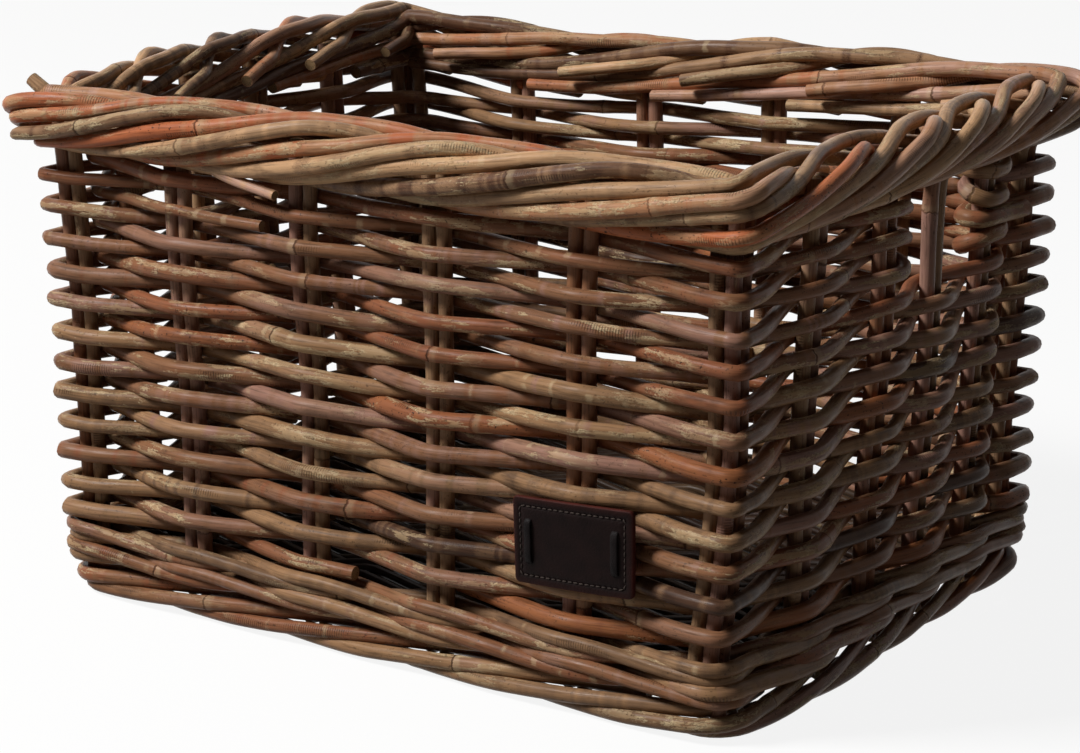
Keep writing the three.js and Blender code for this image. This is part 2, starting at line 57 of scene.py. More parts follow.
Socket = bpy.types.NodeSocket

logging.basicConfig(level=logging.INFO, format="%(message)s")
log = logging.getLogger("basket")


class Slot(Enum):
    """The record's material slots."""

    WEAVE = "weaving_rods"
    STAKES = "stakes"
    BORDERS = "borders"
    BASE = "base"
    LABEL = "label_leather"
    LACE = "lace_leather"


class Tone(Enum):
    """The kinds of rod in the bundle, as a place on the finish's colour ramp."""

    DARK = 0.04
    OLIVE = 0.22
    SAND = 0.38
    MAUVE = 0.55
    BROWN = 0.7
    RED = 0.84
    ORANGE = 0.97


def linear(colour: str) -> tuple[float, float, float, float]:
    """Turn an sRGB hex colour into a linear one.

    Args:
        colour: six hex digits after a hash sign.

    Returns:
        Red, green, blue and an alpha of one.
    """
    parts = [int(colour[i : i + 2], 16) / 255 for i in (1, 3, 5)]
    return tuple(c / 12.92 if c <= 0.04045 else ((c + 0.055) / 1.055) ** 2.4 for c in parts) + (1.0,)


def smooth(share: float | np.ndarray) -> float | np.ndarray:
    """Ease a share, or many, from 0 to 1, level at both ends.

    Args:
        share: the share; below 0 and above 1 it counts as those.

    Returns:
        The eased share.
    """
    share = np.clip(share, 0, 1)
    return share * share * (3 - 2 * share)


def add_node(
    tree: bpy.types.NodeTree, kind: str, links: dict | None = None, **settings: object,
) -> Node:
    """Add a node to a tree.

    Args:
        tree: the tree.
        kind: the node's type.
        links: what each input takes, by name or number: a socket, a node (its first output) or a value.
        settings: the node's own properties.

    Returns:
        The node.
    """
    node = tree.nodes.new(kind)
    for key, value in settings.items():
        setattr(node, key, value)
    for key, value in (links or {}).items():
        if isinstance(value, Node):
            value = value.outputs[0]
        if isinstance(value, Socket):
            tree.links.new(value, node.inputs[key])
        else:
            node.inputs[key].default_value = value
    return node


# The frame that every path is set out on


@dataclass(frozen=True)
class Corner:
    """How a border turns the basket's corners: its radius, and how much of its reach adds to that.

    The pace is how much of the rods' spacing half a corner takes, or 0 for as much as it is long.
    """

    radius: float
    spread: float = 1.0
    pace: float = 0.0


@dataclass(frozen=True)
class StakeLine:
    """The rounded rectangle through the stakes, which leans out with height. Millimetres."""

    width_at_foot: float = 367.0
    width_at_rim: float = 390.7
    depth_at_foot: float = 275.2
    depth_at_rim: float = 279.2
    height: float = 261.95
    tightest: float = 3.0
    on_long_walls: tuple[float, ...] = (-1.0, -0.62, -0.22, 0.175, 0.595, 1.0)
    on_short_walls: tuple[float, ...] = (-1.0, -0.52, -0.07, 0.285, 0.67, 1.0)

    def share(self, wall: int, bays: float) -> float:
        """How far along a wall a number of bays is.

        Args:
            wall: the wall, counted anticlockwise from the front.
            bays: bays from the wall's first corner.

        Returns:
            From -1 at one corner to 1 at the next.
        """
        places = self.on_short_walls if wall % 2 else self.on_long_walls
        return float(np.interp(bays, range(len(places)), places))

    def half(self, z: float) -> tuple[float, float]:
        """Half the width and half the depth at a height.

        Args:
            z: height above the ground.

        Returns:
            Half the width, half the depth.
        """
        share = z / self.height
        width = self.width_at_foot + (self.width_at_rim - self.width_at_foot) * share
        depth = self.depth_at_foot + (self.depth_at_rim - self.depth_at_foot) * share
        return width / 2, depth / 2

    def wall(self, wall: int, z: float) -> tuple[Vector, Vector, float, float]:
        """The directions and sizes of a wall, counted anticlockwise from the front.

        Args:
            wall: 0 front, 1 right, 2 back, 3 left.
            z: height above the ground.

        Returns:
            The way along, the way out, half the wall's length, and its distance from the middle.
        """
        along = Vector(((1, 0), (0, 1), (-1, 0), (0, -1))[wall % 4])
        out = Vector(((0, -1), (1, 0), (0, 1), (-1, 0))[wall % 4])
        x, y = self.half(z)
        return (along, out, x, y) if wall % 2 == 0 else (along, out, y, x)

    def beside(self, group: float, along_by: float, out_by: float, z: float) -> Vector:
        """A point beside a group of stakes, in the frame of the wall that the group starts or is on.

        Args:
            group: the group, counted anticlockwise from the front left corner.
            along_by: so far along the wall from the group.
            out_by: so far out of the stake line.
            z: height above the ground.

        Returns:
            The point.
        """
        wall, bays = divmod(group % GROUPS, BAYS)
        along, out, reach, distance = self.wall(int(wall), z)
        flat = along * (reach * self.share(int(wall), bays) + along_by) + out * (distance + out_by)
        return Vector((flat.x, flat.y, z))

    def at_corner(self, group: int, before: float, after: float, z: float) -> Vector:
        """A point by a corner stake.

        Args:
            group: the corner's group.
            before: so far along the wall that arrives at the corner, past the corner.
            after: so far along the wall that leaves it.
            z: height above the ground.

        Returns:
            The point.
        """
        wall = (group % GROUPS) // BAYS
        arriving, _, _, _ = self.wall(wall - 1, z)
        corner = self.beside(group, 0, 0, z)
        leaving, _, _, _ = self.wall(wall, z)
        flat = arriving * before + leaving * after
        return corner + Vector((flat.x, flat.y, 0))

    def around(self, bays: float, out_by: float, z: float, corner: Corner) -> Vector:
        """A point beside the stake line with its corners rounded, level with the stakes but at the corners.

        Args:
            bays: how many bays round the basket from the front left corner.
            out_by: so far out of the line.
            z: height above the ground.
            corner: how the corners turn.

        Returns:
            The point.
        """
        wall, local = divmod(bays % GROUPS, BAYS)
        along, out, reach, distance = self.wall(int(wall), z)
        turn = max(corner.radius + corner.spread * out_by, self.tightest)
        pace = corner.pace or turn * math.pi / 4
        straight = reach + out_by - turn
        share = self.share(int(wall), local)
        travelled = reach * share + (straight + pace - reach) * share**5
        on_straight = min(max(travelled, -straight), straight)
        angle = (travelled - on_straight) / pace * math.pi / 4
        centre = along * on_straight + out * (distance + out_by - turn)
        flat = centre + (out * math.cos(angle) + along * math.sin(angle)) * turn
        return Vector((flat.x, flat.y, z))


@dataclass(frozen=True)
class Lean:
    """A place where the walls stand off their true line, and how far. Millimetres.

    The shift grows with height through one range of heights, and fades again through another.
    """

    place: tuple[float, float]
    reach: tuple[float, float]
    shift: tuple[float, float, float]
    grows: tuple[float, float] = (-2.0, -1.0)
    fades: tuple[float, float] = (400.0, 500.0)

    def weight(self, x: np.ndarray, y: np.ndarray, z: np.ndarray) -> np.ndarray:
        """How much of the shift each point takes.

        Args:
            x: places across.
            y: places in depth.
            z: heights.

        Returns:
            A share for each point.
        """
        grown, faded = (smooth((z - low) / (high - low)) for low, high in (self.grows, self.fades))
        near = ((x - self.place[0]) / self.reach[0]) ** 2 + ((y - self.place[1]) / self.reach[1]) ** 2
        return grown * (1 - faded) * np.exp(-near)


@dataclass(frozen=True)
class HandMade:
    """The slow waves and leans that keep hand-woven walls from being true, the same for all rods.

    The wave and the lift are how far they move a point across and up. They start above the foot.
    """

    wave: float = 1.3
    lift: float = 0.7
    leans: tuple[Lean, ...] = (
        Lean((-100.0, 150.0), (120.0, 70.0), (0.0, 0.0, -9.5), grows=(120.0, 240.0)),
        Lean((-195.0, -140.0), (90.0, 90.0), (0.8, 0.0, 0.0), grows=(20.0, 80.0), fades=(215.0, 235.0)),
        Lean((195.0, 140.0), (90.0, 90.0), (-5.0, 0.0, 0.0), fades=(215.0, 235.0)),
        Lean((185.0, -138.0), (40.0, 40.0), (-3.5, 0.0, 0.0), fades=(25.0, 80.0)),
        Lean((190.0, -100.0), (80.0, 90.0), (8.0, -1.0, 0.0), fades=(12.0, 36.0)),
        Lean((118.0, -140.0), (70.0, 60.0), (0.0, -2.5, 0.0), fades=(12.0, 36.0)),
        Lean((-205.0, -142.0), (80.0, 60.0), (0.0, 0.0, -4.6), grows=(222.0, 238.0)),
    )

    def sway(self, points: np.ndarray) -> np.ndarray:
        """Move points with the waves.

        Args:
            points: rows of x, y, z in metres.

        Returns:
            The moved points, in metres.
        """
        x, y, z = (points / MM).T
        rise = smooth((z - 10) / 60)
        moved = np.empty_like(points)
        moved[:, 0] = x + rise * self.wave * np.sin(y / 27 + z / 39 + 0.4) * np.cos(z / 61 + 1.1)
        moved[:, 1] = y + rise * self.wave * np.sin(x / 33 - z / 43 + 2.0) * np.cos(z / 53)
        lift = self.lift * (1 - 0.7 * np.clip((z - 225) / 30, 0, 1))
        moved[:, 2] = z + rise * lift * (np.sin(x / 29 + 0.9) + np.sin(y / 31 - 0.5)) * np.cos(z / 47)
        for lean in self.leans:
            moved += lean.weight(x, y, z)[:, None] * np.array(lean.shift)
        return moved * MM


@dataclass
class Rod:
    """One rod: the points it follows in millimetres, and what it looks like."""

    points: list[Vector]
    diameter: float
    tone: float
    seed: float
    knot_gap: float
    knot_shift: float
    taper: float

    def radii(self) -> list[float]:
        """The rod's radius at each point: it thins evenly to its end.

        Returns:
            The radii in millimetres.
        """
        last = len(self.points) - 1
        return [self.diameter / 2 * (1 - self.taper * i / last) for i in range(last + 1)]


class Bundle:
    """The bundle that the rods are drawn from, one after the other, the same each time."""

    # How many of each kind are in twenty-nine rods
    COUNTS = {
        Tone.BROWN: 8, Tone.OLIVE: 6, Tone.SAND: 4, Tone.MAUVE: 4, Tone.DARK: 3, Tone.RED: 3, Tone.ORANGE: 1,
    }

    # How far a rod may be from its kind's place on the ramp, and the millimetres between its knots
    TONE_SPREAD = 0.06
    KNOT_GAPS = (260, 520)

    def __init__(self, seed: int, diameter: float, spread: float, taper: float = 0.0) -> None:
        """Open a bundle.

        Args:
            seed: seed of its rods.
            diameter: the rods' diameter in millimetres.
            spread: how far a rod may be from it.
            taper: share of its thickness that a rod loses towards its end.
        """
        self.taper = taper
        self.chance = random.Random(seed)
        self.diameter = diameter
        self.spread = spread

    def draw(self, points: list[Vector], tone: Tone | None = None, scale: float = 1.0) -> Rod:
        """Take a rod for a path.

        Args:
            points: the path in millimetres.
            tone: the kind of rod, or none to take what comes.
            scale: share of the bundle's diameter.

        Returns:
            The rod.
        """
        picked = self.chance.choices(list(self.COUNTS), list(self.COUNTS.values()))[0]
        place = (tone or picked).value + self.chance.uniform(-self.TONE_SPREAD, self.TONE_SPREAD)
        return Rod(
            points=points, diameter=scale * (self.diameter + self.chance.uniform(-self.spread, self.spread)),
            tone=min(max(place, 0.0), 1.0), seed=self.chance.random(),
            knot_gap=self.chance.uniform(*self.KNOT_GAPS),
            knot_shift=self.chance.uniform(0, self.KNOT_GAPS[1]), taper=self.taper,
        )


# Geometry Nodes


def put_in_scene(name: str, data: bpy.types.ID) -> bpy.types.Object:
    """Make an object of a mesh, a lamp or a camera, and put it in the scene.

    Args:
        name: name of the object.
        data: what it is made of.

    Returns:
        The object.
    """
    placed = bpy.data.objects.new(name, data)
    bpy.context.scene.collection.objects.link(placed)
    return placed


def run_tree(
    piece: bpy.types.Object, tree: bpy.types.NodeTree, sockets: dict[str, str], values: dict[str, object],
) -> None:
    """Run a Geometry Nodes tree on an object, and put the plain mesh that it makes in its place.

    Args:
        piece: the object.
        tree: the tree.
        sockets: the identifier of each named input.
        values: what each named input is set to.
    """
    modifier = piece.modifiers.new(tree.name, "NODES")
    modifier.node_group = tree
    for name, value in values.items():
        modifier[sockets[name]] = value
    made = bpy.data.meshes.new_from_object(piece.evaluated_get(bpy.context.evaluated_depsgraph_get()))
    piece.modifiers.clear()
    piece.data = made


@dataclass(frozen=True)
class SweepSize:
    """Sizes of the rod sweep, in millimetres and shares of the rod's radius."""

    step: float = 3.5
    sides: int = 12
    knot_swell: float = 0.09
    knot_width: float = 4.0
    lump: float = 0.16
    lump_length: float = 55.0
    wander: float = 0.9
    wander_length: float = 45.0


class RodSweep:
    """The tree that turns paths into rods.

    The paths are edges with a radius, a tone, a seed, a knot gap and a knot shift at each point.
    The rods carry "skin": the distance along the rod, and the place in its section, in metres.
    """

    SIZES = ("Step", "Knot Swell", "Knot Width", "Lump", "Lump Length", "Wander", "Wander Length")

    def __init__(self) -> None:
        """Build the tree."""
        self.tree = bpy.data.node_groups.new("rod_sweep", "GeometryNodeTree")
        self.sockets: dict[str, str] = {}
        self._add_socket("Paths", "NodeSocketGeometry")
        for name in self.SIZES:
            self._add_socket(name, "NodeSocketFloat")
        self._add_socket("Sides", "NodeSocketInt")
        self._add_socket("Finish", "NodeSocketMaterial")
        self.tree.interface.new_socket("Rods", in_out="OUTPUT", socket_type="NodeSocketGeometry")
        self._wire()

    def _add_socket(self, name: str, kind: str) -> None:
        """Add a named input.

        Args:
            name: the input's name.
            kind: its type.
        """
        socket = self.tree.interface.new_socket(name, in_out="INPUT", socket_type=kind)
        self.sockets[name] = socket.identifier

    def _wire(self) -> None:
        """Wire the tree."""
        add = partial(add_node, self.tree)
        given = add("NodeGroupInput").outputs
        seed_number, thick, gap, shift, along = (
            add("GeometryNodeInputNamedAttribute", {"Name": name}, data_type="FLOAT").outputs["Attribute"]
            for name in ("seed", "thick", "knot_gap", "knot_shift", "along")
        )
        curve = add("GeometryNodeMeshToCurve", {"Mesh": given["Paths"]})
        rounded = add("GeometryNodeCurveSplineType", {"Curve": curve}, spline_type="CATMULL_ROM")
        stepped = add("GeometryNodeResampleCurve", {
            "Curve": rounded, "Length": given["Step"],
        }, mode="LENGTH", keep_last_segment=True)
        seed = add("ShaderNodeMath", {0: seed_number, 1: 50.0}, operation="MULTIPLY")
        position = add("GeometryNodeInputPosition")
        shifted = add("ShaderNodeVectorMath", {
            0: position, 1: add("ShaderNodeCombineXYZ", {0: seed}),
        }, operation="ADD")
        noise = add("ShaderNodeTexNoise", {
            "Vector": shifted,
            "Scale": add("ShaderNodeMath", {0: 1.0, 1: given["Wander Length"]}, operation="DIVIDE"),
            "Detail": 1.0,
        })
        centred = add("ShaderNodeVectorMath", {
            0: noise.outputs["Color"], 1: (0.5,) * 3,
        }, operation="SUBTRACT")
        offset = add("ShaderNodeVectorMath", {0: centred, "Scale": given["Wander"]}, operation="SCALE")
        wandering = add("GeometryNodeSetPosition", {"Geometry": stepped, "Offset": offset})
        travelled = add("GeometryNodeSplineParameter").outputs["Length"]
        kept = add("GeometryNodeStoreNamedAttribute", {
            "Geometry": wandering, "Name": "along", "Value": travelled,
        }, data_type="FLOAT", domain="POINT")

        # Knots swell the rod halfway between the gaps' ends, and lumps do so anywhere
        passed = add("ShaderNodeMath", {0: along, 1: shift}, operation="ADD")
        past = add("ShaderNodeMath", {0: passed, 1: gap}, operation="FLOORED_MODULO")
        half_gap = add("ShaderNodeMath", {0: gap, 1: 0.5}, operation="MULTIPLY")
        from_knot = add("ShaderNodeMath", {0: past, 1: half_gap}, operation="SUBTRACT")
        reach = add("ShaderNodeMath", {0: from_knot, 1: given["Knot Width"]}, operation="DIVIDE")
        squared = add("ShaderNodeMath", {0: reach, 1: reach}, operation="MULTIPLY")
        negative = add("ShaderNodeMath", {0: squared, 1: -1.0}, operation="MULTIPLY")
        falloff = add("ShaderNodeMath", {0: negative}, operation="EXPONENT")
        lengths = add("ShaderNodeMath", {0: along, 1: given["Lump Length"]}, operation="DIVIDE")
        place = add("ShaderNodeCombineXYZ", {0: lengths, 1: seed})
        lumps = add("ShaderNodeTexNoise", {"Vector": place, "Scale": 1.0, "Detail": 2.0})
        uneven = add("ShaderNodeMath", {0: lumps.outputs["Fac"], 1: 0.5}, operation="SUBTRACT")
        lump = add("ShaderNodeMath", {0: uneven, 1: given["Lump"]}, operation="MULTIPLY")
        knot = add("ShaderNodeMath", {0: falloff, 1: given["Knot Swell"]}, operation="MULTIPLY")
        swollen = add("ShaderNodeMath", {0: knot, 1: lump}, operation="ADD")
        share = add("ShaderNodeMath", {0: swollen, 1: 1.0}, operation="ADD")
        scale = add("ShaderNodeMath", {0: thick, 1: share}, operation="MULTIPLY")

        # The section keeps its own places, from which the finish reads the side of the rod
        circle = add("GeometryNodeCurvePrimitiveCircle", {"Resolution": given["Sides"], "Radius": 1.0})
        section = add("GeometryNodeStoreNamedAttribute", {
            "Geometry": circle, "Name": "section", "Value": add("GeometryNodeInputPosition"),
        }, data_type="FLOAT_VECTOR", domain="POINT")
        swept = add("GeometryNodeCurveToMesh", {
            "Curve": kept, "Profile Curve": section, "Scale": scale, "Fill Caps": True,
        })
        stored = add("GeometryNodeInputNamedAttribute", {"Name": "section"}, data_type="FLOAT_VECTOR")
        across, up, _ = add("ShaderNodeSeparateXYZ", {0: stored.outputs["Attribute"]}).outputs
        side = add("ShaderNodeMath", {0: across, 1: thick}, operation="MULTIPLY")
        top = add("ShaderNodeMath", {0: up, 1: thick}, operation="MULTIPLY")
        skin = add("ShaderNodeCombineXYZ", {0: along, 1: side, 2: top})
        marked = add("GeometryNodeStoreNamedAttribute", {
            "Geometry": swept, "Name": "skin", "Value": skin,
        }, data_type="FLOAT_VECTOR", domain="POINT")
        corners = add("GeometryNodeInputMeshFaceNeighbors").outputs["Vertex Count"]
        is_side = add("FunctionNodeCompare", {2: corners, 3: 5}, data_type="INT", operation="LESS_THAN")
        soft = add("GeometryNodeSetShadeSmooth", {0: marked, "Shade Smooth": is_side}, domain="FACE")
        real = add("GeometryNodeRealizeInstances", {0: soft})
        dressed = add("GeometryNodeSetMaterial", {"Geometry": real, "Material": given["Finish"]})
        add("NodeGroupOutput", {0: dressed})

    def grow(
        self, name: str, rods: list[Rod], finish: bpy.types.Material, size: SweepSize, hand: HandMade,
    ) -> bpy.types.Object:
        """Turn rods into one plain mesh.

        Args:
            name: name of the piece.
            rods: its rods.
            finish: the material.
            size: sizes of the sweep.
            hand: the waves of the hand-woven walls.

        Returns:
            The piece.
        """
        points = [point * MM for rod in rods for point in rod.points]
        edges = []
        start = 0
        for rod in rods:
            edges += [(i, i + 1) for i in range(start, start + len(rod.points) - 1)]
            start += len(rod.points)
        paths = bpy.data.meshes.new(name)
        paths.from_pydata(points, edges, [])
        values = {
            "thick": [radius * MM for rod in rods for radius in rod.radii()],
            "tone": [rod.tone for rod in rods for _ in rod.points],
            "seed": [rod.seed for rod in rods for _ in rod.points],
            "knot_gap": [rod.knot_gap * MM for rod in rods for _ in rod.points],
            "knot_shift": [rod.knot_shift * MM for rod in rods for _ in rod.points],
        }
        for key, each in values.items():
            paths.attributes.new(key, "FLOAT", "POINT").data.foreach_set("value", each)
        piece = put_in_scene(name, paths)
        run_tree(piece, self.tree, self.sockets, {
            "Step": size.step * MM, "Sides": size.sides, "Knot Swell": size.knot_swell,
            "Knot Width": size.knot_width * MM, "Lump": size.lump, "Lump Length": size.lump_length * MM,
            "Wander": size.wander * MM, "Wander Length": size.wander_length * MM, "Finish": finish,
        })
        sway_mesh(piece.data, hand)
        return piece


def sway_mesh(mesh: bpy.types.Mesh, hand: HandMade) -> None:
    """Move a mesh with the waves of the walls.

    Args:
        mesh: the mesh.
        hand: the waves.
    """
    points = np.empty(len(mesh.vertices) * 3, dtype=np.float32)
    mesh.vertices.foreach_get("co", points)
    moved = hand.sway(points.reshape(-1, 3).astype(np.float64))
    mesh.vertices.foreach_set("co", moved.astype(np.float32).ravel())
    mesh.update()


def hand_in(piece: bpy.types.Object, slot: Slot, *nodes: str) -> bpy.types.Object:
    """Attach a finished piece to the basket's body, and hide the CAD nodes that it stands for.

    Args:
        piece: the piece.
        slot: the record's slot for the piece; not used.
        nodes: the CAD nodes that it stands for.

    Returns:
        The piece.
    """
    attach(piece, BODY)
    if nodes:
        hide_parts(*nodes)
    log.info("%s: %d faces, for %s", piece.name, len(piece.data.polygons), ", ".join(nodes) or "no node")
    return piece


# Finishes


@dataclass(frozen=True)
class Streaks:
    """Noise stretched along a rod: the length and width of its features in millimetres.

    Marks made of it start to show where it passes low, and show in full from high.
    """

    length: float
    width: float
    detail: float
    place: float
    low: float = 0.0
    high: float = 1.0


class RodReader:
    """The tree of a rod's finish, with what it reads of the rod and the patterns that it lays on it."""

    # How far apart the pattern of one rod lies from the next one's, along and across
    APART = (91.0, 37.0, 13.0)

    def __init__(self, tree: bpy.types.NodeTree) -> None:
        """Read the rod's attributes.

        Args:
            tree: the finish's tree.
        """
        self.add = partial(add_node, tree)
        self.skin = self.add("ShaderNodeAttribute", attribute_name="skin").outputs["Vector"]
        self.seed, self.thick, self.kind, self.gap, shift = (
            self.add("ShaderNodeAttribute", attribute_name=name).outputs["Fac"]
            for name in ("seed", "thick", "tone", "knot_gap", "knot_shift")
        )
        self.along, self.side, self.top = self.add("ShaderNodeSeparateXYZ", {0: self.skin}).outputs
        self.apart = self.add("ShaderNodeCombineXYZ", {
            i: self.add("ShaderNodeMath", {0: self.seed, 1: step}, operation="MULTIPLY")
            for i, step in enumerate(self.APART)
        })
        self.travelled = self.add("ShaderNodeMath", {0: self.along, 1: shift}, operation="ADD")
        self.cells = self.add("ShaderNodeMath", {0: self.travelled, 1: self.gap}, operation="DIVIDE")

    def noise(self, streaks: Streaks) -> Socket:
        """Noise in streaks, which lies elsewhere on each rod.

        Args:
            streaks: size and place of the streaks.

        Returns:
            The noise.
        """
        along_scale, across_scale = 1 / (streaks.length * MM), 1 / (streaks.width * MM)
        stretched = self.add("ShaderNodeVectorMath", {
            0: self.skin, 1: (along_scale, across_scale, across_scale), 2: self.apart,
        }, operation="MULTIPLY_ADD")
        return self.add("ShaderNodeTexNoise", {
            "Vector": stretched, "W": streaks.place, "Scale": 1.0, "Detail": streaks.detail,
            "Roughness": 0.62,
        }, noise_dimensions="4D").outputs["Fac"]

    def marks(self, streaks: Streaks) -> Node:
        """Marks made of noise in streaks.

        Args:
            streaks: size and place of the streaks, and where marks start and are full.

        Returns:
            The marks, from 0 to 1.
        """
        return self.add("ShaderNodeMapRange", {
            0: self.noise(streaks), 1: streaks.low, 2: streaks.high,
        }, interpolation_type="SMOOTHSTEP")

    def chance(self, number: float | Node, place: float) -> Node:
        """A random value for each numbered stretch of each rod.

        Args:
            number: the stretch's number.
            place: another for each use.

        Returns:
            A value from 0 to 1.
        """
        rod = self.add("ShaderNodeMath", {0: self.seed, 1: 193.0}, operation="MULTIPLY")
        key = self.add("ShaderNodeCombineXYZ", {0: number, 1: rod, 2: place})
        return self.add("ShaderNodeTexWhiteNoise", {"Vector": key}, noise_dimensions="3D")

    def tint(
        self, colour: Node | Socket | tuple[float, ...], marks: Node, share: Node | float, paint: str,
    ) -> Socket:
        """Tint a colour where marks are.

        Args:
            colour: the colour.
            marks: the marks, from 0 to 1.
            share: how strongly they tint it.
            paint: the tint, in sRGB hex.

        Returns:
            The tinted colour.
        """
        shown = self.add("ShaderNodeMath", {0: marks, 1: share}, operation="MULTIPLY")
        return self.add("ShaderNodeMix", {
            0: shown, 6: colour, 7: linear(paint),
        }, data_type="RGBA").outputs[2]


@dataclass(frozen=True)
class RattanFinish:
    """Round kubu rattan, steamed and rubbed with a water stain, then waxed.

    The stain takes unevenly, so rods run from olive through mauve to fox red, and change tone at each
    knot. The bark left on them ends in ragged pale edges; knots are thin dark rings with a pale band
    on one side; the wax gives a soft sheen along the top of each rod. The shares say how strongly a
    mark tints what is under it. Pitches and the bump are in millimetres.
    """

    name: str
    tones: tuple[str, ...]
    bark: str = "#c0a47d"
    bark_edge: str = "#d9c39b"
    stain: str = "#20130c"
    cut: str = "#a88963"
    bark_share: float = 0.5
    drift: float = 0.66
    roughness: float = 0.36
    specular: float = 0.09
    bump: float = 0.38
    tone_drift: Streaks = Streaks(62.5, 18.182, 2.0, 0.0)
    clouds: Streaks = Streaks(26.316, 7.143, 4.0, 3.0, 0.5, 0.8)
    grain: Streaks = Streaks(22.222, 1.0526, 3.0, 7.0, 0.46, 0.72)
    bark_streaks: Streaks = Streaks(33.333, 5.2632, 6.0, 11.0)
    bark_fray: Streaks = Streaks(1.4286, 1.1111, 2.0, 13.0)
    bark_places: Streaks = Streaks(111.11, 50.0, 1.0, 17.0, 0.44, 0.6)
    edge_places: Streaks = Streaks(14.286, 11.111, 2.0, 15.0, 0.4, 0.6)
    crack_places: Streaks = Streaks(62.5, 16.667, 1.0, 41.0, 0.6, 0.66)
    crack_sides: Streaks = Streaks(83.333, 7.6923, 1.0, 43.0, 0.46, 0.52)
    specks: Streaks = Streaks(1.7857, 1.4286, 2.0, 19.0, 0.6, 0.66)
    speck_places: Streaks = Streaks(40.0, 16.667, 1.0, 23.0, 0.42, 0.56)
    knot_wave: Streaks = Streaks(6.25, 3.3333, 3.0, 29.0)
    scar_places: Streaks = Streaks(41.667, 5.0, 2.0, 31.0, 0.46, 0.62)
    crack_pitch: float = 1.3
    scar_pitch: float = 17.0
    pore_pitch: float = 1.0
    knot_waviness: float = 4.5
    speck_share: float = 0.5
    more_specks_on_red: float = 0.4
    painted_end_shade: float = 0.8
    pore_share: float = 0.7
    tone_reach: float = 0.32
    knot_change: float = 0.2
    fray: float = 0.16
    grain_share: float = 0.5
    flake_share: float = 0.4
    edge_share: float = 0.62
    crack_share: float = 0.45
    band_share: float = 0.26
    ring_share: float = 0.9
    scar_share: float = 0.28

    def material(self) -> bpy.types.Material:
        """Make the material.

        Returns:
            A procedural material that reads the rods' own attributes.
        """
        material = bpy.data.materials.new(self.name)
        material.use_nodes = True
        material.node_tree.nodes.clear()
        rod = RodReader(material.node_tree)
        add = rod.add
        colour, cloud, grain = self._stain(rod, self._tones(rod))
        colour, flake = self._bark(rod, colour)
        colour, crack = self._cracks(rod, colour)
        colour, ring, from_knot = self._knots(rod, self._specks(rod, colour))
        colour, end = self._ends(rod, self._scars(rod, colour, from_knot))

        # The wax is thinner on the bark and gone from the knots and cut ends
        uneven = add("ShaderNodeMath", {0: cloud, 1: 0.5}, operation="SUBTRACT")
        rough = add("ShaderNodeMath", {0: uneven, 1: 0.5}, operation="MULTIPLY")
        rough = add("ShaderNodeMath", {0: rough, 1: self.roughness}, operation="ADD")
        bare = add("ShaderNodeMath", {0: ring, 1: end}, operation="MAXIMUM")
        for marks, share in ((flake, 0.12), (bare, 0.3)):
            more = add("ShaderNodeMath", {0: marks, 1: share}, operation="MULTIPLY")
            rough = add("ShaderNodeMath", {0: rough, 1: more}, operation="ADD", use_clamp=True)

        # Bark stands up from the rod, and grain, rings and cracks go into it
        furrow = add("ShaderNodeMath", {0: ring, 1: crack}, operation="MAXIMUM")
        height = add("ShaderNodeMath", {0: grain, 1: -0.5}, operation="MULTIPLY")
        for marks, share in ((flake, 0.7), (furrow, -0.9), (cloud, 0.8)):
            more = add("ShaderNodeMath", {0: marks, 1: share}, operation="MULTIPLY")
            height = add("ShaderNodeMath", {0: height, 1: more}, operation="ADD")
        bump = add("ShaderNodeBump", {"Strength": 1.0, "Distance": self.bump * MM, "Height": height})
        shader = add("ShaderNodeBsdfPrincipled", {
            "Base Color": colour, "Roughness": rough, "Normal": bump, "IOR": 1.45,
            "Specular IOR Level": self.specular,
        })
        add("ShaderNodeOutputMaterial", {0: shader})
        return material

    def _tones(self, rod: RodReader) -> Node:
        """Lay the bundle's tones along the rod: they drift over 60 mm or so, and change at each knot.

        Args:
            rod: the tree and what it reads of the rod.

        Returns:
            The colour.
        """
        add = rod.add
        stretch = add("ShaderNodeMath", {0: rod.cells, 1: 0.5}, operation="SUBTRACT")
        between = rod.chance(add("ShaderNodeMath", {0: stretch}, operation="FLOOR"), 1.0)
        tone = rod.kind
        for change, reach in ((rod.noise(self.tone_drift), self.tone_reach), (between, self.knot_change)):
            either_way = add("ShaderNodeMath", {0: change, 1: 0.5}, operation="SUBTRACT")
            shift = add("ShaderNodeMath", {0: either_way, 1: reach}, operation="MULTIPLY")
            tone = add("ShaderNodeMath", {0: tone, 1: shift}, operation="ADD")
        ramp = add("ShaderNodeValToRGB", {0: tone})
        stops = ramp.color_ramp.elements
        for i, colour in enumerate(self.tones):
            place = i / (len(self.tones) - 1)
            stop = stops[i] if i < 2 else stops.new(place)
            stop.position = place
            stop.color = linear(colour)
        return ramp

    def _stain(self, rod: RodReader, colour: Node) -> tuple[Socket, Socket, Socket]:
        """Stain the rod unevenly, in clouds 25 mm long, and in lengthwise grain a millimetre wide.

        Args:
            rod: the tree and what it reads of the rod.
            colour: the colour so far.

        Returns:
            The colour, the clouds and the grain.
        """
        cloud, grain = rod.noise(self.clouds), rod.noise(self.grain)
        for noise, streaks, share in (
            (cloud, self.clouds, self.drift), (grain, self.grain, self.grain_share),
        ):
            marks = rod.add("ShaderNodeMapRange", {
                0: noise, 1: streaks.low, 2: streaks.high,
            }, interpolation_type="SMOOTHSTEP")
            colour = rod.tint(colour, marks, share, self.stain)
        return colour, cloud, grain

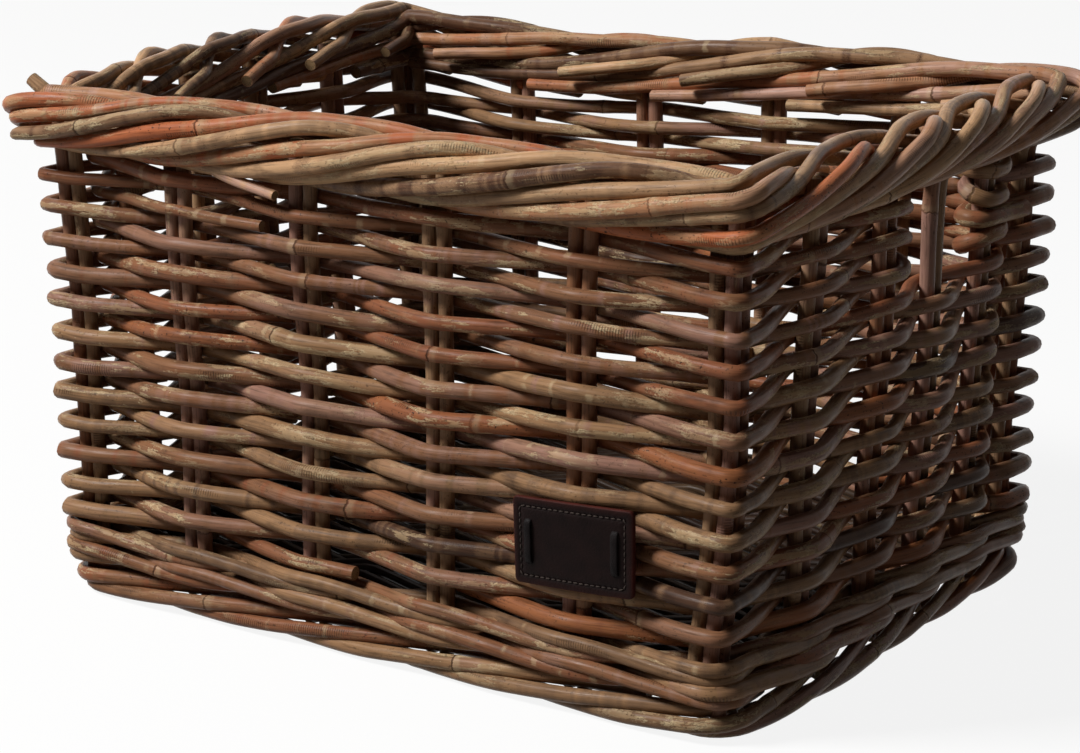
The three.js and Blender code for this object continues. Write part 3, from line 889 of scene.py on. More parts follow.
    def _bark(self, rod: RodReader, colour: Socket) -> tuple[Socket, Node]:
        """Leave bark on the rod in streaks 30 mm long, paler along their ragged edges.

        Args:
            rod: the tree and what it reads of the rod.
            colour: the colour so far.

        Returns:
            The colour, and where bark is.
        """
        add = rod.add
        fray = add("ShaderNodeMath", {0: rod.noise(self.bark_fray), 1: self.fray}, operation="MULTIPLY")
        ragged = add("ShaderNodeMath", {0: rod.noise(self.bark_streaks), 1: fray}, operation="ADD")
        edge_at = 1.13 - self.bark_share
        inside, edge_starts, edge_ends = (
            add("ShaderNodeMapRange", {
                0: ragged, 1: edge_at + low, 2: edge_at + high,
            }, interpolation_type="SMOOTHSTEP")
            for low, high in ((-0.01, 0.01), (-0.03, 0.0), (0.01, 0.045))
        )
        present = rod.marks(self.bark_places)
        flake = add("ShaderNodeMath", {0: inside, 1: present}, operation="MULTIPLY")
        edge = add("ShaderNodeMath", {0: edge_starts, 1: edge_ends}, operation="SUBTRACT")
        for places in (present, rod.marks(self.edge_places)):
            edge = add("ShaderNodeMath", {0: edge, 1: places}, operation="MULTIPLY")
        colour = rod.tint(colour, flake, self.flake_share, self.bark)
        return rod.tint(colour, edge, self.edge_share, self.bark_edge), flake

    def _cracks(self, rod: RodReader, colour: Socket) -> tuple[Socket, Node]:
        """Crack the rod finely across, every 1.3 mm, in short patches on one side of it.

        Args:
            rod: the tree and what it reads of the rod.
            colour: the colour so far.

        Returns:
            The colour, and where cracks are.
        """
        add = rod.add
        phase = add("ShaderNodeMath", {
            0: rod.along, 1: 2 * math.pi / (self.crack_pitch * MM),
        }, operation="MULTIPLY")
        wave = add("ShaderNodeMath", {0: phase}, operation="SINE")
        lines = add("ShaderNodeMapRange", {0: wave, 1: 0.1, 2: 0.8}, interpolation_type="SMOOTHSTEP")
        patch = add("ShaderNodeMath", {
            0: rod.marks(self.crack_places), 1: rod.marks(self.crack_sides),
        }, operation="MULTIPLY")
        crack = add("ShaderNodeMath", {0: lines, 1: patch}, operation="MULTIPLY")
        return rod.tint(colour, crack, self.crack_share, self.stain), crack

    def _specks(self, rod: RodReader, colour: Socket) -> Socket:
        """Speck the rod with mould and scorch under 2 mm wide, in patches, most on the red rods.

        Args:
            rod: the tree and what it reads of the rod.
            colour: the colour so far.

        Returns:
            The colour.
        """
        add = rod.add
        specks = add("ShaderNodeMath", {
            0: rod.marks(self.specks), 1: rod.marks(self.speck_places),
        }, operation="MULTIPLY")
        red = add("ShaderNodeMapRange", {0: rod.kind, 1: 0.65, 2: 0.85}, interpolation_type="SMOOTHSTEP")
        more = add("ShaderNodeMath", {0: red, 1: self.more_specks_on_red}, operation="MULTIPLY")
        share = add("ShaderNodeMath", {0: more, 1: self.speck_share}, operation="ADD")
        return rod.tint(colour, specks, share, self.stain)

    def _knots(self, rod: RodReader, colour: Socket) -> tuple[Socket, Node, Node]:
        """Mark uneven knots: a dark ring under a millimetre wide, and a ragged pale band on one side.

        Args:
            rod: the tree and what it reads of the rod.
            colour: the colour so far.

        Returns:
            The colour, the rings, and the wavy distance from the nearest knot.
        """
        add = rod.add
        drawn = rod.chance(add("ShaderNodeMath", {0: rod.cells}, operation="FLOOR"), 2.0)
        uneven = add("ShaderNodeMath", {0: drawn, 1: 0.75}, operation="MULTIPLY")
        strength = add("ShaderNodeMath", {0: uneven, 1: 0.2}, operation="ADD")
        past = add("ShaderNodeMath", {0: rod.travelled, 1: rod.gap}, operation="FLOORED_MODULO")
        half_gap = add("ShaderNodeMath", {0: rod.gap, 1: 0.5}, operation="MULTIPLY")
        from_knot = add("ShaderNodeMath", {0: past, 1: half_gap}, operation="SUBTRACT")
        either_way = add("ShaderNodeMath", {0: rod.noise(self.knot_wave), 1: 0.5}, operation="SUBTRACT")
        wave = add("ShaderNodeMath", {0: either_way, 1: self.knot_waviness * MM}, operation="MULTIPLY")
        bent = add("ShaderNodeMath", {0: from_knot, 1: wave}, operation="ADD")
        band_starts, band_ends = (
            add("ShaderNodeMapRange", {0: bent, 1: low * MM, 2: high * MM}, interpolation_type="SMOOTHSTEP")
            for low, high in ((0.3, 1.0), (2.5, 5.0))
        )
        band = add("ShaderNodeMath", {0: band_starts, 1: band_ends}, operation="SUBTRACT")
        band_share = add("ShaderNodeMath", {0: strength, 1: self.band_share}, operation="MULTIPLY")
        colour = rod.tint(colour, band, band_share, self.bark_edge)
        distance = add("ShaderNodeMath", {0: bent}, operation="ABSOLUTE")
        away = add("ShaderNodeMapRange", {
            0: distance, 1: 0.2 * MM, 2: 0.8 * MM,
        }, interpolation_type="SMOOTHSTEP")
        near = add("ShaderNodeMath", {0: 1.0, 1: away}, operation="SUBTRACT")
        ring = add("ShaderNodeMath", {0: near, 1: strength}, operation="MULTIPLY")
        return rod.tint(colour, ring, self.ring_share, self.stain), ring, bent

    def _scars(self, rod: RodReader, colour: Socket, bent: Node) -> Socket:
        """Ring one rod in eight with leaf scars: faint, ragged and pale, 17 mm apart.

        Args:
            rod: the tree and what it reads of the rod.
            colour: the colour so far.
            bent: the wavy distance from the nearest knot.

        Returns:
            The colour.
        """
        add = rod.add
        pitch = self.scar_pitch * MM
        ahead = add("ShaderNodeMath", {0: bent, 1: 1.0}, operation="ADD")
        past = add("ShaderNodeMath", {0: ahead, 1: pitch}, operation="FLOORED_MODULO")
        from_scar = add("ShaderNodeMath", {0: past, 1: pitch / 2}, operation="SUBTRACT")
        distance = add("ShaderNodeMath", {0: from_scar}, operation="ABSOLUTE")
        away = add("ShaderNodeMapRange", {
            0: distance, 1: 0.8 * MM, 2: 2.2 * MM,
        }, interpolation_type="SMOOTHSTEP")
        scars = add("ShaderNodeMath", {0: 1.0, 1: away}, operation="SUBTRACT")
        has_scars = add("ShaderNodeMapRange", {
            0: rod.chance(3.0, 5.0), 1: 0.86, 2: 0.88,
        }, interpolation_type="SMOOTHSTEP")
        for places in (has_scars, rod.marks(self.scar_places)):
            scars = add("ShaderNodeMath", {0: scars, 1: places}, operation="MULTIPLY")
        return rod.tint(colour, scars, self.scar_share, self.bark_edge)

    def _ends(self, rod: RodReader, colour: Socket) -> tuple[Socket, Node]:
        """Bare the cut ends, pale or darkened at random with painted shade, with pores half a millimetre wide
        drawn at twice that.

        Args:
            rod: the tree and what it reads of the rod.
            colour: the colour so far.

        Returns:
            The colour, and where ends are.
        """
        add = rod.add
        across = add("ShaderNodeCombineXYZ", {0: rod.side, 1: rod.top})
        length = add("ShaderNodeVectorMath", {0: across}, operation="LENGTH").outputs["Value"]
        reach = add("ShaderNodeMath", {0: length, 1: rod.thick}, operation="DIVIDE")
        skin = add("ShaderNodeMapRange", {0: reach, 1: 0.84, 2: 0.9}, interpolation_type="SMOOTHSTEP")
        end = add("ShaderNodeMath", {0: 1.0, 1: skin}, operation="SUBTRACT")
        cells = add("ShaderNodeTexVoronoi", {"Vector": across, "Scale": 1 / (self.pore_pitch * MM)})
        wall = add("ShaderNodeMapRange", {
            0: cells.outputs["Distance"], 1: 0.15, 2: 0.4,
        }, interpolation_type="SMOOTHSTEP")
        pores = add("ShaderNodeMath", {0: 1.0, 1: wall}, operation="SUBTRACT")
        # Painted shade: some cut faces are darkened at random towards the stain colour
        face = rod.tint(linear(self.cut), rod.chance(4.0, 6.0), self.painted_end_shade, self.stain)
        face = rod.tint(face, pores, self.pore_share, self.stain)
        return add("ShaderNodeMix", {0: end, 6: colour, 7: face}, data_type="RGBA").outputs[2], end


@dataclass(frozen=True)
class LeatherFinish:
    """Vegetable-tanned leather, dyed and pressed, with a raw edge.

    Pebbled grain about a millimetre wide, dull on the pebbles and duller between them; the cut edge
    shows the redder inside of the hide.
    """

    name: str
    face: str
    edge: str
    grain: float = 1.0
    roughness: float = 0.5
    specular: float = 0.05
    bump: float = 0.12

    def material(self) -> bpy.types.Material:
        """Make the material.

        Returns:
            A procedural material that reads Object coordinates and the "edge" attribute.
        """
        material = bpy.data.materials.new(self.name)
        material.use_nodes = True
        material.node_tree.nodes.clear()
        add = partial(add_node, material.node_tree)
        place = add("ShaderNodeTexCoord").outputs["Object"]
        pebble = add("ShaderNodeTexVoronoi", {
            "Vector": place, "Scale": 1 / (self.grain * MM),
        }, feature="F1").outputs["Distance"]
        cloud = add("ShaderNodeTexNoise", {"Vector": place, "Scale": 110.0, "Detail": 4.0})
        shade = add("ShaderNodeMapRange", {0: cloud.outputs["Fac"], 1: 0.3, 2: 0.7, 3: 0.7, 4: 1.35})
        edge = add("ShaderNodeAttribute", attribute_name="edge").outputs["Fac"]
        base = add("ShaderNodeMix", {
            0: edge, 6: linear(self.face), 7: linear(self.edge),
        }, data_type="RGBA").outputs[2]
        tinted = add("ShaderNodeVectorMath", {0: base, "Scale": shade}, operation="SCALE")
        rough = add("ShaderNodeMapRange", {
            0: cloud.outputs["Fac"], 1: 0.3, 2: 0.7, 3: self.roughness - 0.08, 4: self.roughness + 0.1,
        })
        bump = add("ShaderNodeBump", {"Distance": self.bump * MM, "Height": pebble}, invert=True)
        shader = add("ShaderNodeBsdfPrincipled", {
            "Base Color": tinted, "Roughness": rough, "Normal": bump, "Specular IOR Level": self.specular,
        })
        add("ShaderNodeOutputMaterial", {0: shader})
        return material


WEAVER_TONES = ("#4a3326", "#7a5d45", "#967251", "#936d5e", "#815b40", "#855138", "#905a39")
# The stakes' tones are paler than the weave's: painted light, which lifts the stakes out of the shade between
# the rows
LIT_STAKE_TONES = ("#654838", "#8c6d52", "#a07f5f", "#9c7668", "#8e6346", "#90593f", "#9a5f3b")
# The base's tones are far darker than the weave's: painted shade for the inside of the basket
SHADED_BASE_TONES = ("#2b1d16", "#3f3024", "#4a3827", "#47352f", "#3e2c20", "#42281c", "#472c1d")
BORDER_TONES = ("#614433", "#a38060", "#c69c74", "#bb9281", "#a97d5b", "#ab613f", "#b66a43")


# The basket's sub-assemblies


@dataclass
class Stakes:
    """Paired upright rods, and a third at each corner."""

    line: StakeLine
    sweep: RodSweep
    hand: HandMade
    finish: bpy.types.Material
    diameter: float = 7.3
    spacing: float = 7.9
    liner_shift: float = 8.2
    foot: float = 9.0
    top: float = 245.0
    kinds: tuple[Tone, ...] = (Tone.MAUVE, Tone.OLIVE, Tone.MAUVE, Tone.SAND, Tone.BROWN)
    size: SweepSize = field(default_factory=lambda: SweepSize(step=5.0, wander=0.5, lump=0.12))

    # So little before a corner's group is on the wall that arrives there
    JUST_BEFORE = 1e-6

    def _rod(self, bundle: Bundle, group: float, shift: float) -> Rod:
        """One upright rod.

        Args:
            bundle: where the rod comes from.
            group: the group of stakes.
            shift: how far along the wall the rod is from the group's place.

        Returns:
            The rod.
        """
        heights = [self.foot + (self.top - self.foot) * i / 12 for i in range(13)]
        lean = bundle.chance.uniform(-0.5, 0.5)
        points = [
            self.line.beside(
                group, shift + lean * math.sin(z / 37 + shift), 0.3 * math.sin(z / 29 + group), z,
            )
            for z in heights
        ]
        return bundle.draw(points, bundle.chance.choice(self.kinds))

    def build(self) -> None:
        """Build the pairs of each wall and the three rods of each corner."""
        bundle = Bundle(31, self.diameter, 0.35)
        half = self.spacing / 2
        for wall, name in enumerate(("front", "right", "back", "left")):
            for bay in range(1, BAYS):
                group = wall * BAYS + bay
                rods = [self._rod(bundle, group, -half), self._rod(bundle, group, half)]
                self._grow("stakes_%s_%d" % (name, bay), rods)
        for wall, here, before, after in ((0, "front", "left", "right"), (2, "back", "right", "left")):
            start, end = wall * BAYS, wall * BAYS + BAYS
            near_end = end - self.JUST_BEFORE
            self._grow(
                "corner_stakes_%s_%s" % (here, before),
                [self._rod(bundle, start, 0.0), self._rod(bundle, start, self.spacing)],
            )
            self._grow(
                "corner_stakes_%s_%s" % (here, after),
                [self._rod(bundle, near_end, 0.0), self._rod(bundle, near_end, -self.spacing)],
            )
            self._grow(
                "corner_liner_%s_%s" % (here, before),
                [self._rod(bundle, (start - self.JUST_BEFORE) % GROUPS, -self.liner_shift)],
            )
            self._grow("corner_liner_%s_%s" % (here, after), [self._rod(bundle, end, self.liner_shift)])

    def _grow(self, node: str, rods: list[Rod]) -> None:
        """Grow the rods of one node, attach them to the basket's body and hide the node.

        Args:
            node: name of the CAD node.
            rods: its rods.
        """
        piece = self.sweep.grow("rods_of_" + node, rods, self.finish, self.size, self.hand)
        hand_in(piece, Slot.STAKES, node)


@dataclass
class Weave:
    """The randed walls: rods that pass in front of one pair of stakes and behind the next."""

    line: StakeLine
    sweep: RodSweep
    hand: HandMade
    finish: bpy.types.Material
    diameter: float = 7.9
    spread: float = 0.9
    loose_share: float = 0.68
    first_level: float = 40.8
    pitch: float = 7.75
    rows: int = 24
    hand_hole_rows: int = 6
    rows_per_rod: int = 3
    swing: float = 7.3
    bend: float = 5.0
    corner_reach: float = 8.2
    corner_bulge: float = 1.3
    size: SweepSize = field(default_factory=SweepSize)

    # Rods that end outside with a bare cut: the row, the group they pass last, and how far past it
    free_ends = {0: (2, 27.0), 21: (1, 56.0)}

    # The kind of rod that each row shows on the front, from the bottom row up
    kinds = (
        Tone.BROWN, Tone.OLIVE, Tone.BROWN, Tone.DARK, Tone.SAND, Tone.RED, Tone.MAUVE, Tone.OLIVE,
        Tone.BROWN, Tone.OLIVE, Tone.MAUVE, Tone.ORANGE, Tone.DARK, Tone.BROWN, Tone.SAND, Tone.MAUVE,
        Tone.BROWN, Tone.RED, Tone.MAUVE, Tone.OLIVE, Tone.SAND, Tone.BROWN, Tone.OLIVE, Tone.BROWN,
    )

    def level(self, row: int) -> float:
        """Height of a row's middle."""
        return self.first_level + row * self.pitch

    def outside(self, row: int, group: int) -> bool:
        """Whether a row passes outside a group of stakes; neighbours are opposite."""
        return (row + group + 2 * GROUPS) % 2 == 0

    def bends(self, row: int, group: int) -> list[Vector]:
        """The points of a row at a group of stakes.

        Args:
            row: the row, from the bottom.
            group: the group of stakes.

        Returns:
            The points, anticlockwise.
        """
        z = self.level(row) + 0.75 * math.sin(1.7 * row + 2.3 * group) + 0.5 * math.sin(0.9 * row * group + 1)
        out = self.outside(row, group)
        if group % BAYS:
            side = self.swing if out else -self.swing
            shares = ((-self.bend, 0.97), (0.0, 1.02), (self.bend, 0.97))
            return [self.line.beside(group % GROUPS, along, side * share, z) for along, share in shares]
        if not out:
            flats = ((-21.0, 4.6), (-14.5, 6.6), (-10.3, 10.3), (-6.6, 14.5), (-4.6, 21.0))
            return [self.line.at_corner(group, before, after, z) for before, after in flats]
        near = self.corner_reach
        far = near + self.corner_bulge * (0.6 + 0.4 * math.sin(5.0 * row))
        flats = (
            (-10.0, -self.swing), (1.5, -near), (far - 2.6, -far + 0.6), (far - 0.6, -far + 2.6),
            (near, -1.5), (self.swing, 10.0),
        )
        return [self.line.at_corner(group, before, after, z) for before, after in flats]

    def path(self, row: int, groups: list[int]) -> list[Vector]:
        """The points of a row through a run of groups, with the stretches between them.

        Args:
            row: the row.
            groups: the groups in the order that the rod passes them.

        Returns:
            The points.
        """
        points: list[Vector] = []
        for group in groups:
            bends = self.bends(row, group)
            if len(groups) > 1 and groups[1] < groups[0]:
                bends.reverse()
            if points:
                leaving, arriving = points[-1], bends[0]
                wall = (min(group, groups[groups.index(group) - 1]) % GROUPS) // BAYS
                wave = 0.5 * math.sin(3.1 * row + 1.3 * group)
                for share in (0.17, 0.39, 0.61, 0.83):
                    eased = 0.62 * share + 0.38 * smooth(share)
                    on = leaving.lerp(arriving, share)
                    off = leaving.lerp(arriving, eased)
                    flat = Vector((on.x, off.y)) if wall % 2 == 0 else Vector((off.x, on.y))
                    points.append(Vector((flat.x, flat.y, on.z + wave * math.sin(math.pi * share))))
            points += bends
        return points

    def row_rods(self, row: int, bundle: Bundle) -> list[Rod]:
        """The rods of a row that goes all the way round.

        Args:
            row: the row.
            bundle: where the rods come from.

        Returns:
            The rods: the front and right walls may be one rod, and the back and left another.
        """
        joints = self._joints(row)
        rods = []
        for k, start in enumerate(joints):
            end = joints[(k + 1) % len(joints)]
            if end <= start:
                end += GROUPS
            groups = list(range(start, end + 1))
            kind = self.kinds[row] if k == 0 else None
            last, past = self.free_ends.get(row, (None, 0.0))
            if last in groups[:-1]:
                count = groups.index(last) + 1
                path = self.path(row, groups[:count]) + self._free_end(row, last, past)
                rods.append(bundle.draw(self._lay_over(path[1:]), kind))
                rods.append(bundle.draw(self.path(row, groups[count:])))
            else:
                path = self._lay_over(self.path(row, groups)[1:])
                rods.append(bundle.draw(path, kind))
        return rods

    def _free_end(self, row: int, group: int, past: float) -> list[Vector]:
        """The straight end of a rod that stops outside.

        Args:
            row: the row.
            group: the group of stakes that it passes last.
            past: how far past it the rod ends.

        Returns:
            The end's points.
        """
        z = self.level(row)
        return [
            self.line.beside(group, past * share, self.swing - 2 * share, z - share) for share in (0.5, 1.0)
        ]

    def _joints(self, row: int) -> list[int]:
        """The groups where a row's rods meet, behind the stakes; never at a corner.

        Args:
            row: the row.

        Returns:
            The groups, in rising order.
        """
        first = (7 * row + 11) % GROUPS
        second = (first + 9 + row % 3) % GROUPS
        joints = []
        for group in (first, second):
            while group % BAYS == 0 or self.outside(row, group):
                group = (group + 1) % GROUPS
            joints.append(group)
        return sorted(set(joints))

    def _lay_over(self, path: list[Vector]) -> list[Vector]:
        """Draw the start of a rod inwards, so that it lies beside the end of the one before.

        Args:
            path: the rod's points.

        Returns:
            The same points, the first ones moved.
        """
        count = 4
        for i in range(count):
            share = 1 - i / count
            inward = Vector((-path[i].x, -path[i].y, 0)).normalized()
            path[i] = path[i] + inward * (5.5 * share) + Vector((0, 0, -1.5 * share))
        return path

    def _round_end(self, row: int, group: int, ahead: int, back: float) -> list[Vector]:
        """The end of a rod that goes round its last pair of stakes and lies along their other side.

        Args:
            row: the row.
            group: the group that it goes round.
            ahead: 1 where the rod arrives anticlockwise, else -1.
            back: how far the end reaches back from the stakes.

        Returns:
            The points, in the order that they are passed.
        """
        z = self.level(row)
        side = self.swing if self.outside(row, group) else -self.swing
        points = []
        for angle in (40, 90, 140):
            theta = math.radians(angle)
            reach = ahead * (self.bend + 1.05 * self.swing * math.sin(theta))
            points.append(self.line.beside(group % GROUPS, reach, side * math.cos(theta), z))
        for share, out in ((0.0, 1.02), (0.5, 1.1), (1.0, 1.35)):
            points.append(self.line.beside(group % GROUPS, -ahead * back * share, -side * out, z - share))
        return points

    def hand_hole_rod(self, first_row: int, loose: bool) -> list[list[Vector]]:
        """The paths of the rods that go to and fro between the hand holes, three rows high.

        Args:
            first_row: their lowest row.
            loose: whether a rod ends outside where the front's do.

        Returns:
            The points of each rod, from the right hand hole: one rod, or two where one ends outside.
        """
        left, right = -1, BAYS + 2
        paths: list[list[Vector]] = [[]]
        for row in range(first_row, first_row + self.rows_per_rod):
            forwards = (row - first_row) % 2 == 1
            groups = list(range(left, right + 1)) if forwards else list(range(right, left - 1, -1))
            ahead = 1 if forwards else -1
            if row == first_row and self.outside(row, right):
                paths[-1] += reversed(self._round_end(row, right, 1, 14.0))
            last, past = self.free_ends.get(row, (None, 0.0))
            if loose and last in groups:
                count = groups.index(last)
                paths[-1] += self.path(row, groups[:count])
                paths.append(list(reversed(self._free_end(row, last, past))) + self.path(row, groups[count:]))
            else:
                paths[-1] += self.path(row, groups)
            if row < first_row + self.rows_per_rod - 1:
                side = self.swing if self.outside(row, groups[-1]) else -self.swing
                for angle in (40, 90, 140):
                    theta = math.radians(angle)
                    z = self.level(row) + self.pitch * angle / 180
                    reach = ahead * (self.bend + 1.05 * self.swing * math.sin(theta))
                    paths[-1].append(self.line.beside(groups[-1] % GROUPS, reach, side * math.cos(theta), z))
            else:
                paths[-1] += self._round_end(row, groups[-1], ahead, 25.0)
        return paths

    def build(self) -> None:
        """Build the full rows and the rods beside the hand holes."""
        bundle = Bundle(57, self.diameter, self.spread)
        for row in range(self.rows - self.hand_hole_rows):
            node = "weaver_%02d" % (row + 1)
            piece = self.sweep.grow(
                "rods_of_" + node, self.row_rods(row, bundle), self.finish, self.size, self.hand,
            )
            hand_in(piece, Slot.WEAVE, node)
        turned = Matrix.Rotation(math.pi, 3, "Z")
        for i in range(self.hand_hole_rows // self.rows_per_rod):
            first_row = self.rows - self.hand_hole_rows + i * self.rows_per_rod
            for name, turn, kind in (
                ("front", Matrix.Identity(3), (Tone.MAUVE, Tone.BROWN)[i]),
                ("back", turned, (Tone.BROWN, Tone.SAND)[i]),
            ):
                node = "hand_hole_weaver_%s_%d" % (name, i + 1)
                paths = self.hand_hole_rod(first_row, name == "front")
                rods = []
                for path, scale in zip(paths, (1.0, self.loose_share)):
                    rods.append(bundle.draw([turn @ point for point in path], kind, scale))
                    # A loose rod thins towards its loose end, which comes first
                    rods[-1].taper = 1 - 1 / scale
                piece = self.sweep.grow("rod_of_" + node, rods, self.finish, self.size, self.hand)
                hand_in(piece, Slot.WEAVE, node)


@dataclass
class Rim:
    """The rolled border: two rods a bay rise outside for two bays and go over the crest.

    One dives inside at once and ends with a bare cut. The other runs along the crest, over the first
    rods' ends, and comes down inside more slowly. A course is given point by point, as bays from its
    start, distance out of the stake line and height. The far walls have darker rods, as painted shade.
    """

    line: StakeLine
    sweep: RodSweep
    hand: HandMade
    finish: bpy.types.Material
    diameter: float = 8.5
    spread: float = 0.75
    taper: float = 0.24
    # The far walls' rim is seen from inside the basket: its darker kinds of rod are painted shade
    far_groups: range = range(9, 18)
    far_shaded_kinds: tuple[Tone, ...] = (Tone.DARK, Tone.OLIVE, Tone.BROWN)
    corner: Corner = Corner(5.0, 0.27, 17.0)
    over: tuple[tuple[float, float, float], ...] = (
        (0.0, 0.0, 228.5), (0.5, 9.0, 229.5), (1.0, 17.0, 235.0), (1.5, 20.0, 243.0), (1.8, 19.8, 249.0),
        (2.0, 18.6, 252.6), (2.2, 15.4, 255.3), (2.35, 12.0, 255.6), (2.55, 6.0, 253.4), (2.75, 0.3, 249.0),
        (2.87, -4.5, 247.2), (3.0, -9.5, 246.0), (3.3, -14.0, 243.0), (3.6, -17.5, 239.4),
    )
    under: tuple[tuple[float, float, float], ...] = (
        (0.0, 0.0, 228.5), (0.5, 8.5, 229.5), (1.0, 15.5, 236.5), (1.5, 17.8, 244.5), (2.0, 14.5, 250.2),
        (2.3, 8.5, 254.1), (2.5, 4.0, 255.6), (2.8, -0.3, 255.7), (3.2, -2.5, 254.8), (3.6, -4.3, 250.5),
        (4.0, -5.0, 245.2), (4.4, -5.5, 241.0), (4.8, -5.8, 238.5), (5.2, -6.2, 236.0), (5.6, -7.0, 233.0),
        (6.0, -8.0, 231.0), (6.4, -9.0, 229.4),
    )
    stub: tuple[tuple[float, float, float], ...] = (
        (1.2, 1.5, 232.5), (1.53, 9.5, 226.6), (1.99, 13.5, 221.0),
    )
    corner_end: tuple[tuple[float, float, float], ...] = (
        (-186.0, -139.0, 247.2), (-198.0, -141.0, 253.7), (-210.0, -142.0, 261.3),
    )
    size: SweepSize = field(default_factory=lambda: SweepSize(step=3.0, wander=0.8, lump=0.12))

    def _rod(
        self, bundle: Bundle, start: float, course: tuple[tuple[float, float, float], ...],
        scale: float = 1.0,
    ) -> Rod:
        """One rod of the rim.

        Args:
            bundle: where the rod comes from.
            start: bays round the basket to its start.
            course: bays from the start, distance out of the stake line and height, point by point.
            scale: share of the bundle's diameter.

        Returns:
            The rod, a little off the others' course.
        """
        chance = bundle.chance
        start += chance.uniform(-0.08, 0.08)
        out_by, up_by = chance.uniform(-0.6, 0.4), chance.uniform(-0.7, 0.3)
        times, outs, heights = course_points(course)
        points = [
            self.line.around(start + t, out + out_by, z + up_by, self.corner)
            for t, out, z in zip(times, outs, heights)
        ]
        group = round(start)
        kind = self.far_shaded_kinds[group % len(self.far_shaded_kinds)] if group in self.far_groups else None
        return bundle.draw(points, kind, scale)

    def build(self) -> None:
        """Build the outer and the inner rods of the rim."""
        bundle = Bundle(73, self.diameter, self.spread, self.taper)
        outer = [self._rod(bundle, group, self.over) for group in range(GROUPS)]
        inner = [self._rod(bundle, group + 0.5, self.under) for group in range(GROUPS)]
        inner.append(self._rod(bundle, 0.0, self.stub, 0.74))
        inner.append(bundle.draw([Vector(point) for point in self.corner_end], Tone.OLIVE))
        piece = self.sweep.grow("rim_outer_rods", outer, self.finish, self.size, self.hand)
        hand_in(piece, Slot.BORDERS, "rim_upper_band")
        piece = self.sweep.grow("rim_inner_rods", inner, self.finish, self.size, self.hand)
        hand_in(piece, Slot.BORDERS, "rim_lower_band")


def course_points(
    course: tuple[tuple[float, float, float], ...]
) -> tuple[np.ndarray, np.ndarray, np.ndarray]:
    """Smooth a rod's course and set it out finely, so that it follows the corners.

    Args:
        course: bays from the start, distance out of the stake line and height, point by point.

    Returns:
        Bays, distances and heights along the course.
    """
    times = np.array([point[0] for point in course])
    fine = np.append(np.arange(times[0], times[-1], 0.04), times[-1])
    places = np.clip(np.searchsorted(times, fine, side="right") - 1, 0, len(times) - 2)
    span = times[places + 1] - times[places]
    share = (fine - times[places]) / span
    smoothed = []
    for axis in (1, 2):
        values = np.array([point[axis] for point in course])
        slopes = np.gradient(values, times)
        low, high = values[places], values[places + 1]
        smoothed.append(
            (2 * share**3 - 3 * share**2 + 1) * low
            + (share**3 - 2 * share**2 + share) * span * slopes[places]
            + (3 * share**2 - 2 * share**3) * high
            + (share**3 - share**2) * span * slopes[places + 1]
        )
    return fine, smoothed[0], smoothed[1]


@dataclass
class Foot:
    """The foot border, and the two rounds of three-rod waling that stand on it.

    The wale's course is how far out and up a rod is at each of three groups of stakes: inside one,
    outside two.
    """

    line: StakeLine
    sweep: RodSweep
    hand: HandMade
    finish: bpy.types.Material
    border_diameter: float = 7.0
    wale_diameter: float = 6.6
    corner: Corner = Corner(10.0)
    wale_corner: Corner = Corner(4.0, 0.7)
    border: tuple[tuple[float, float, float], ...] = (
        (0.0, -4.0, 4.6), (0.6, 4.5, 4.1), (1.1, 9.2, 4.8), (1.7, 9.8, 8.3), (2.3, 6.5, 12.0),
        (2.8, 0.5, 13.4), (3.2, -4.0, 13.0),
    )
    wale_levels: tuple[float, float] = (21.6, 31.2)
    wale_course: tuple[tuple[float, float], ...] = ((-6.6, 0.0), (10.6, 2.4), (9.2, -2.4))
    wale_start: int = 12
    size: SweepSize = field(default_factory=lambda: SweepSize(step=4.0))

    def _border_rods(self) -> list[Rod]:
        """The rods of the foot border.

        Returns:
            One rod a bay.
        """
        bundle = Bundle(97, self.border_diameter, 0.5)
        times, outs, heights = course_points(self.border)
        rods = []
        for group in range(GROUPS):
            points = [
                self.line.around(group + 0.3 + t, out, z, self.corner)
                for t, out, z in zip(times, outs, heights)
            ]
            rods.append(bundle.draw(points))
        return rods

    def _wale_point(self, rod: int, passed: float) -> Vector:
        """A point of a waling rod.

        Args:
            rod: which of the three.
            passed: how many bays it has passed from its start.

        Returns:
            The point.
        """
        behind = math.floor(passed)
        share = smooth(passed - behind)
        out = rise = 0.0
        for group, weight in ((behind, 1 - share), (behind + 1, share)):
            out_by, up_by = self.wale_course[(group + rod) % 3]
            out += weight * out_by
            rise += weight * up_by
        low, high = self.wale_levels
        climb = smooth((passed - (GROUPS - 2)) / 4)
        z = low + (high - low) * climb + rise
        return self.line.around(self.wale_start + passed, out, z, self.wale_corner)

    def _wale_rods(self) -> list[Rod]:
        """The rods of the wale.

        Returns:
            Three rods, and three more that go on where they end.
        """
        bundle = Bundle(101, self.wale_diameter, 0.4)
        rods = []
        for rod in range(3):
            for start, end in ((0.3 + 0.3 * rod, GROUPS + 0.1), (GROUPS + 0.1, 2 * GROUPS - 0.5)):
                passed = np.arange(start, end, 0.125)
                rods.append(bundle.draw([self._wale_point(rod, p) for p in passed]))
        return rods

    def build(self) -> None:
        """Build the border and the wale."""
        piece = self.sweep.grow("foot_border_rods", self._border_rods(), self.finish, self.size, self.hand)
        hand_in(piece, Slot.BORDERS, "foot_border")
        piece = self.sweep.grow("base_wale_rods", self._wale_rods(), self.finish, self.size, self.hand)
        hand_in(piece, Slot.BORDERS, "base_wale")


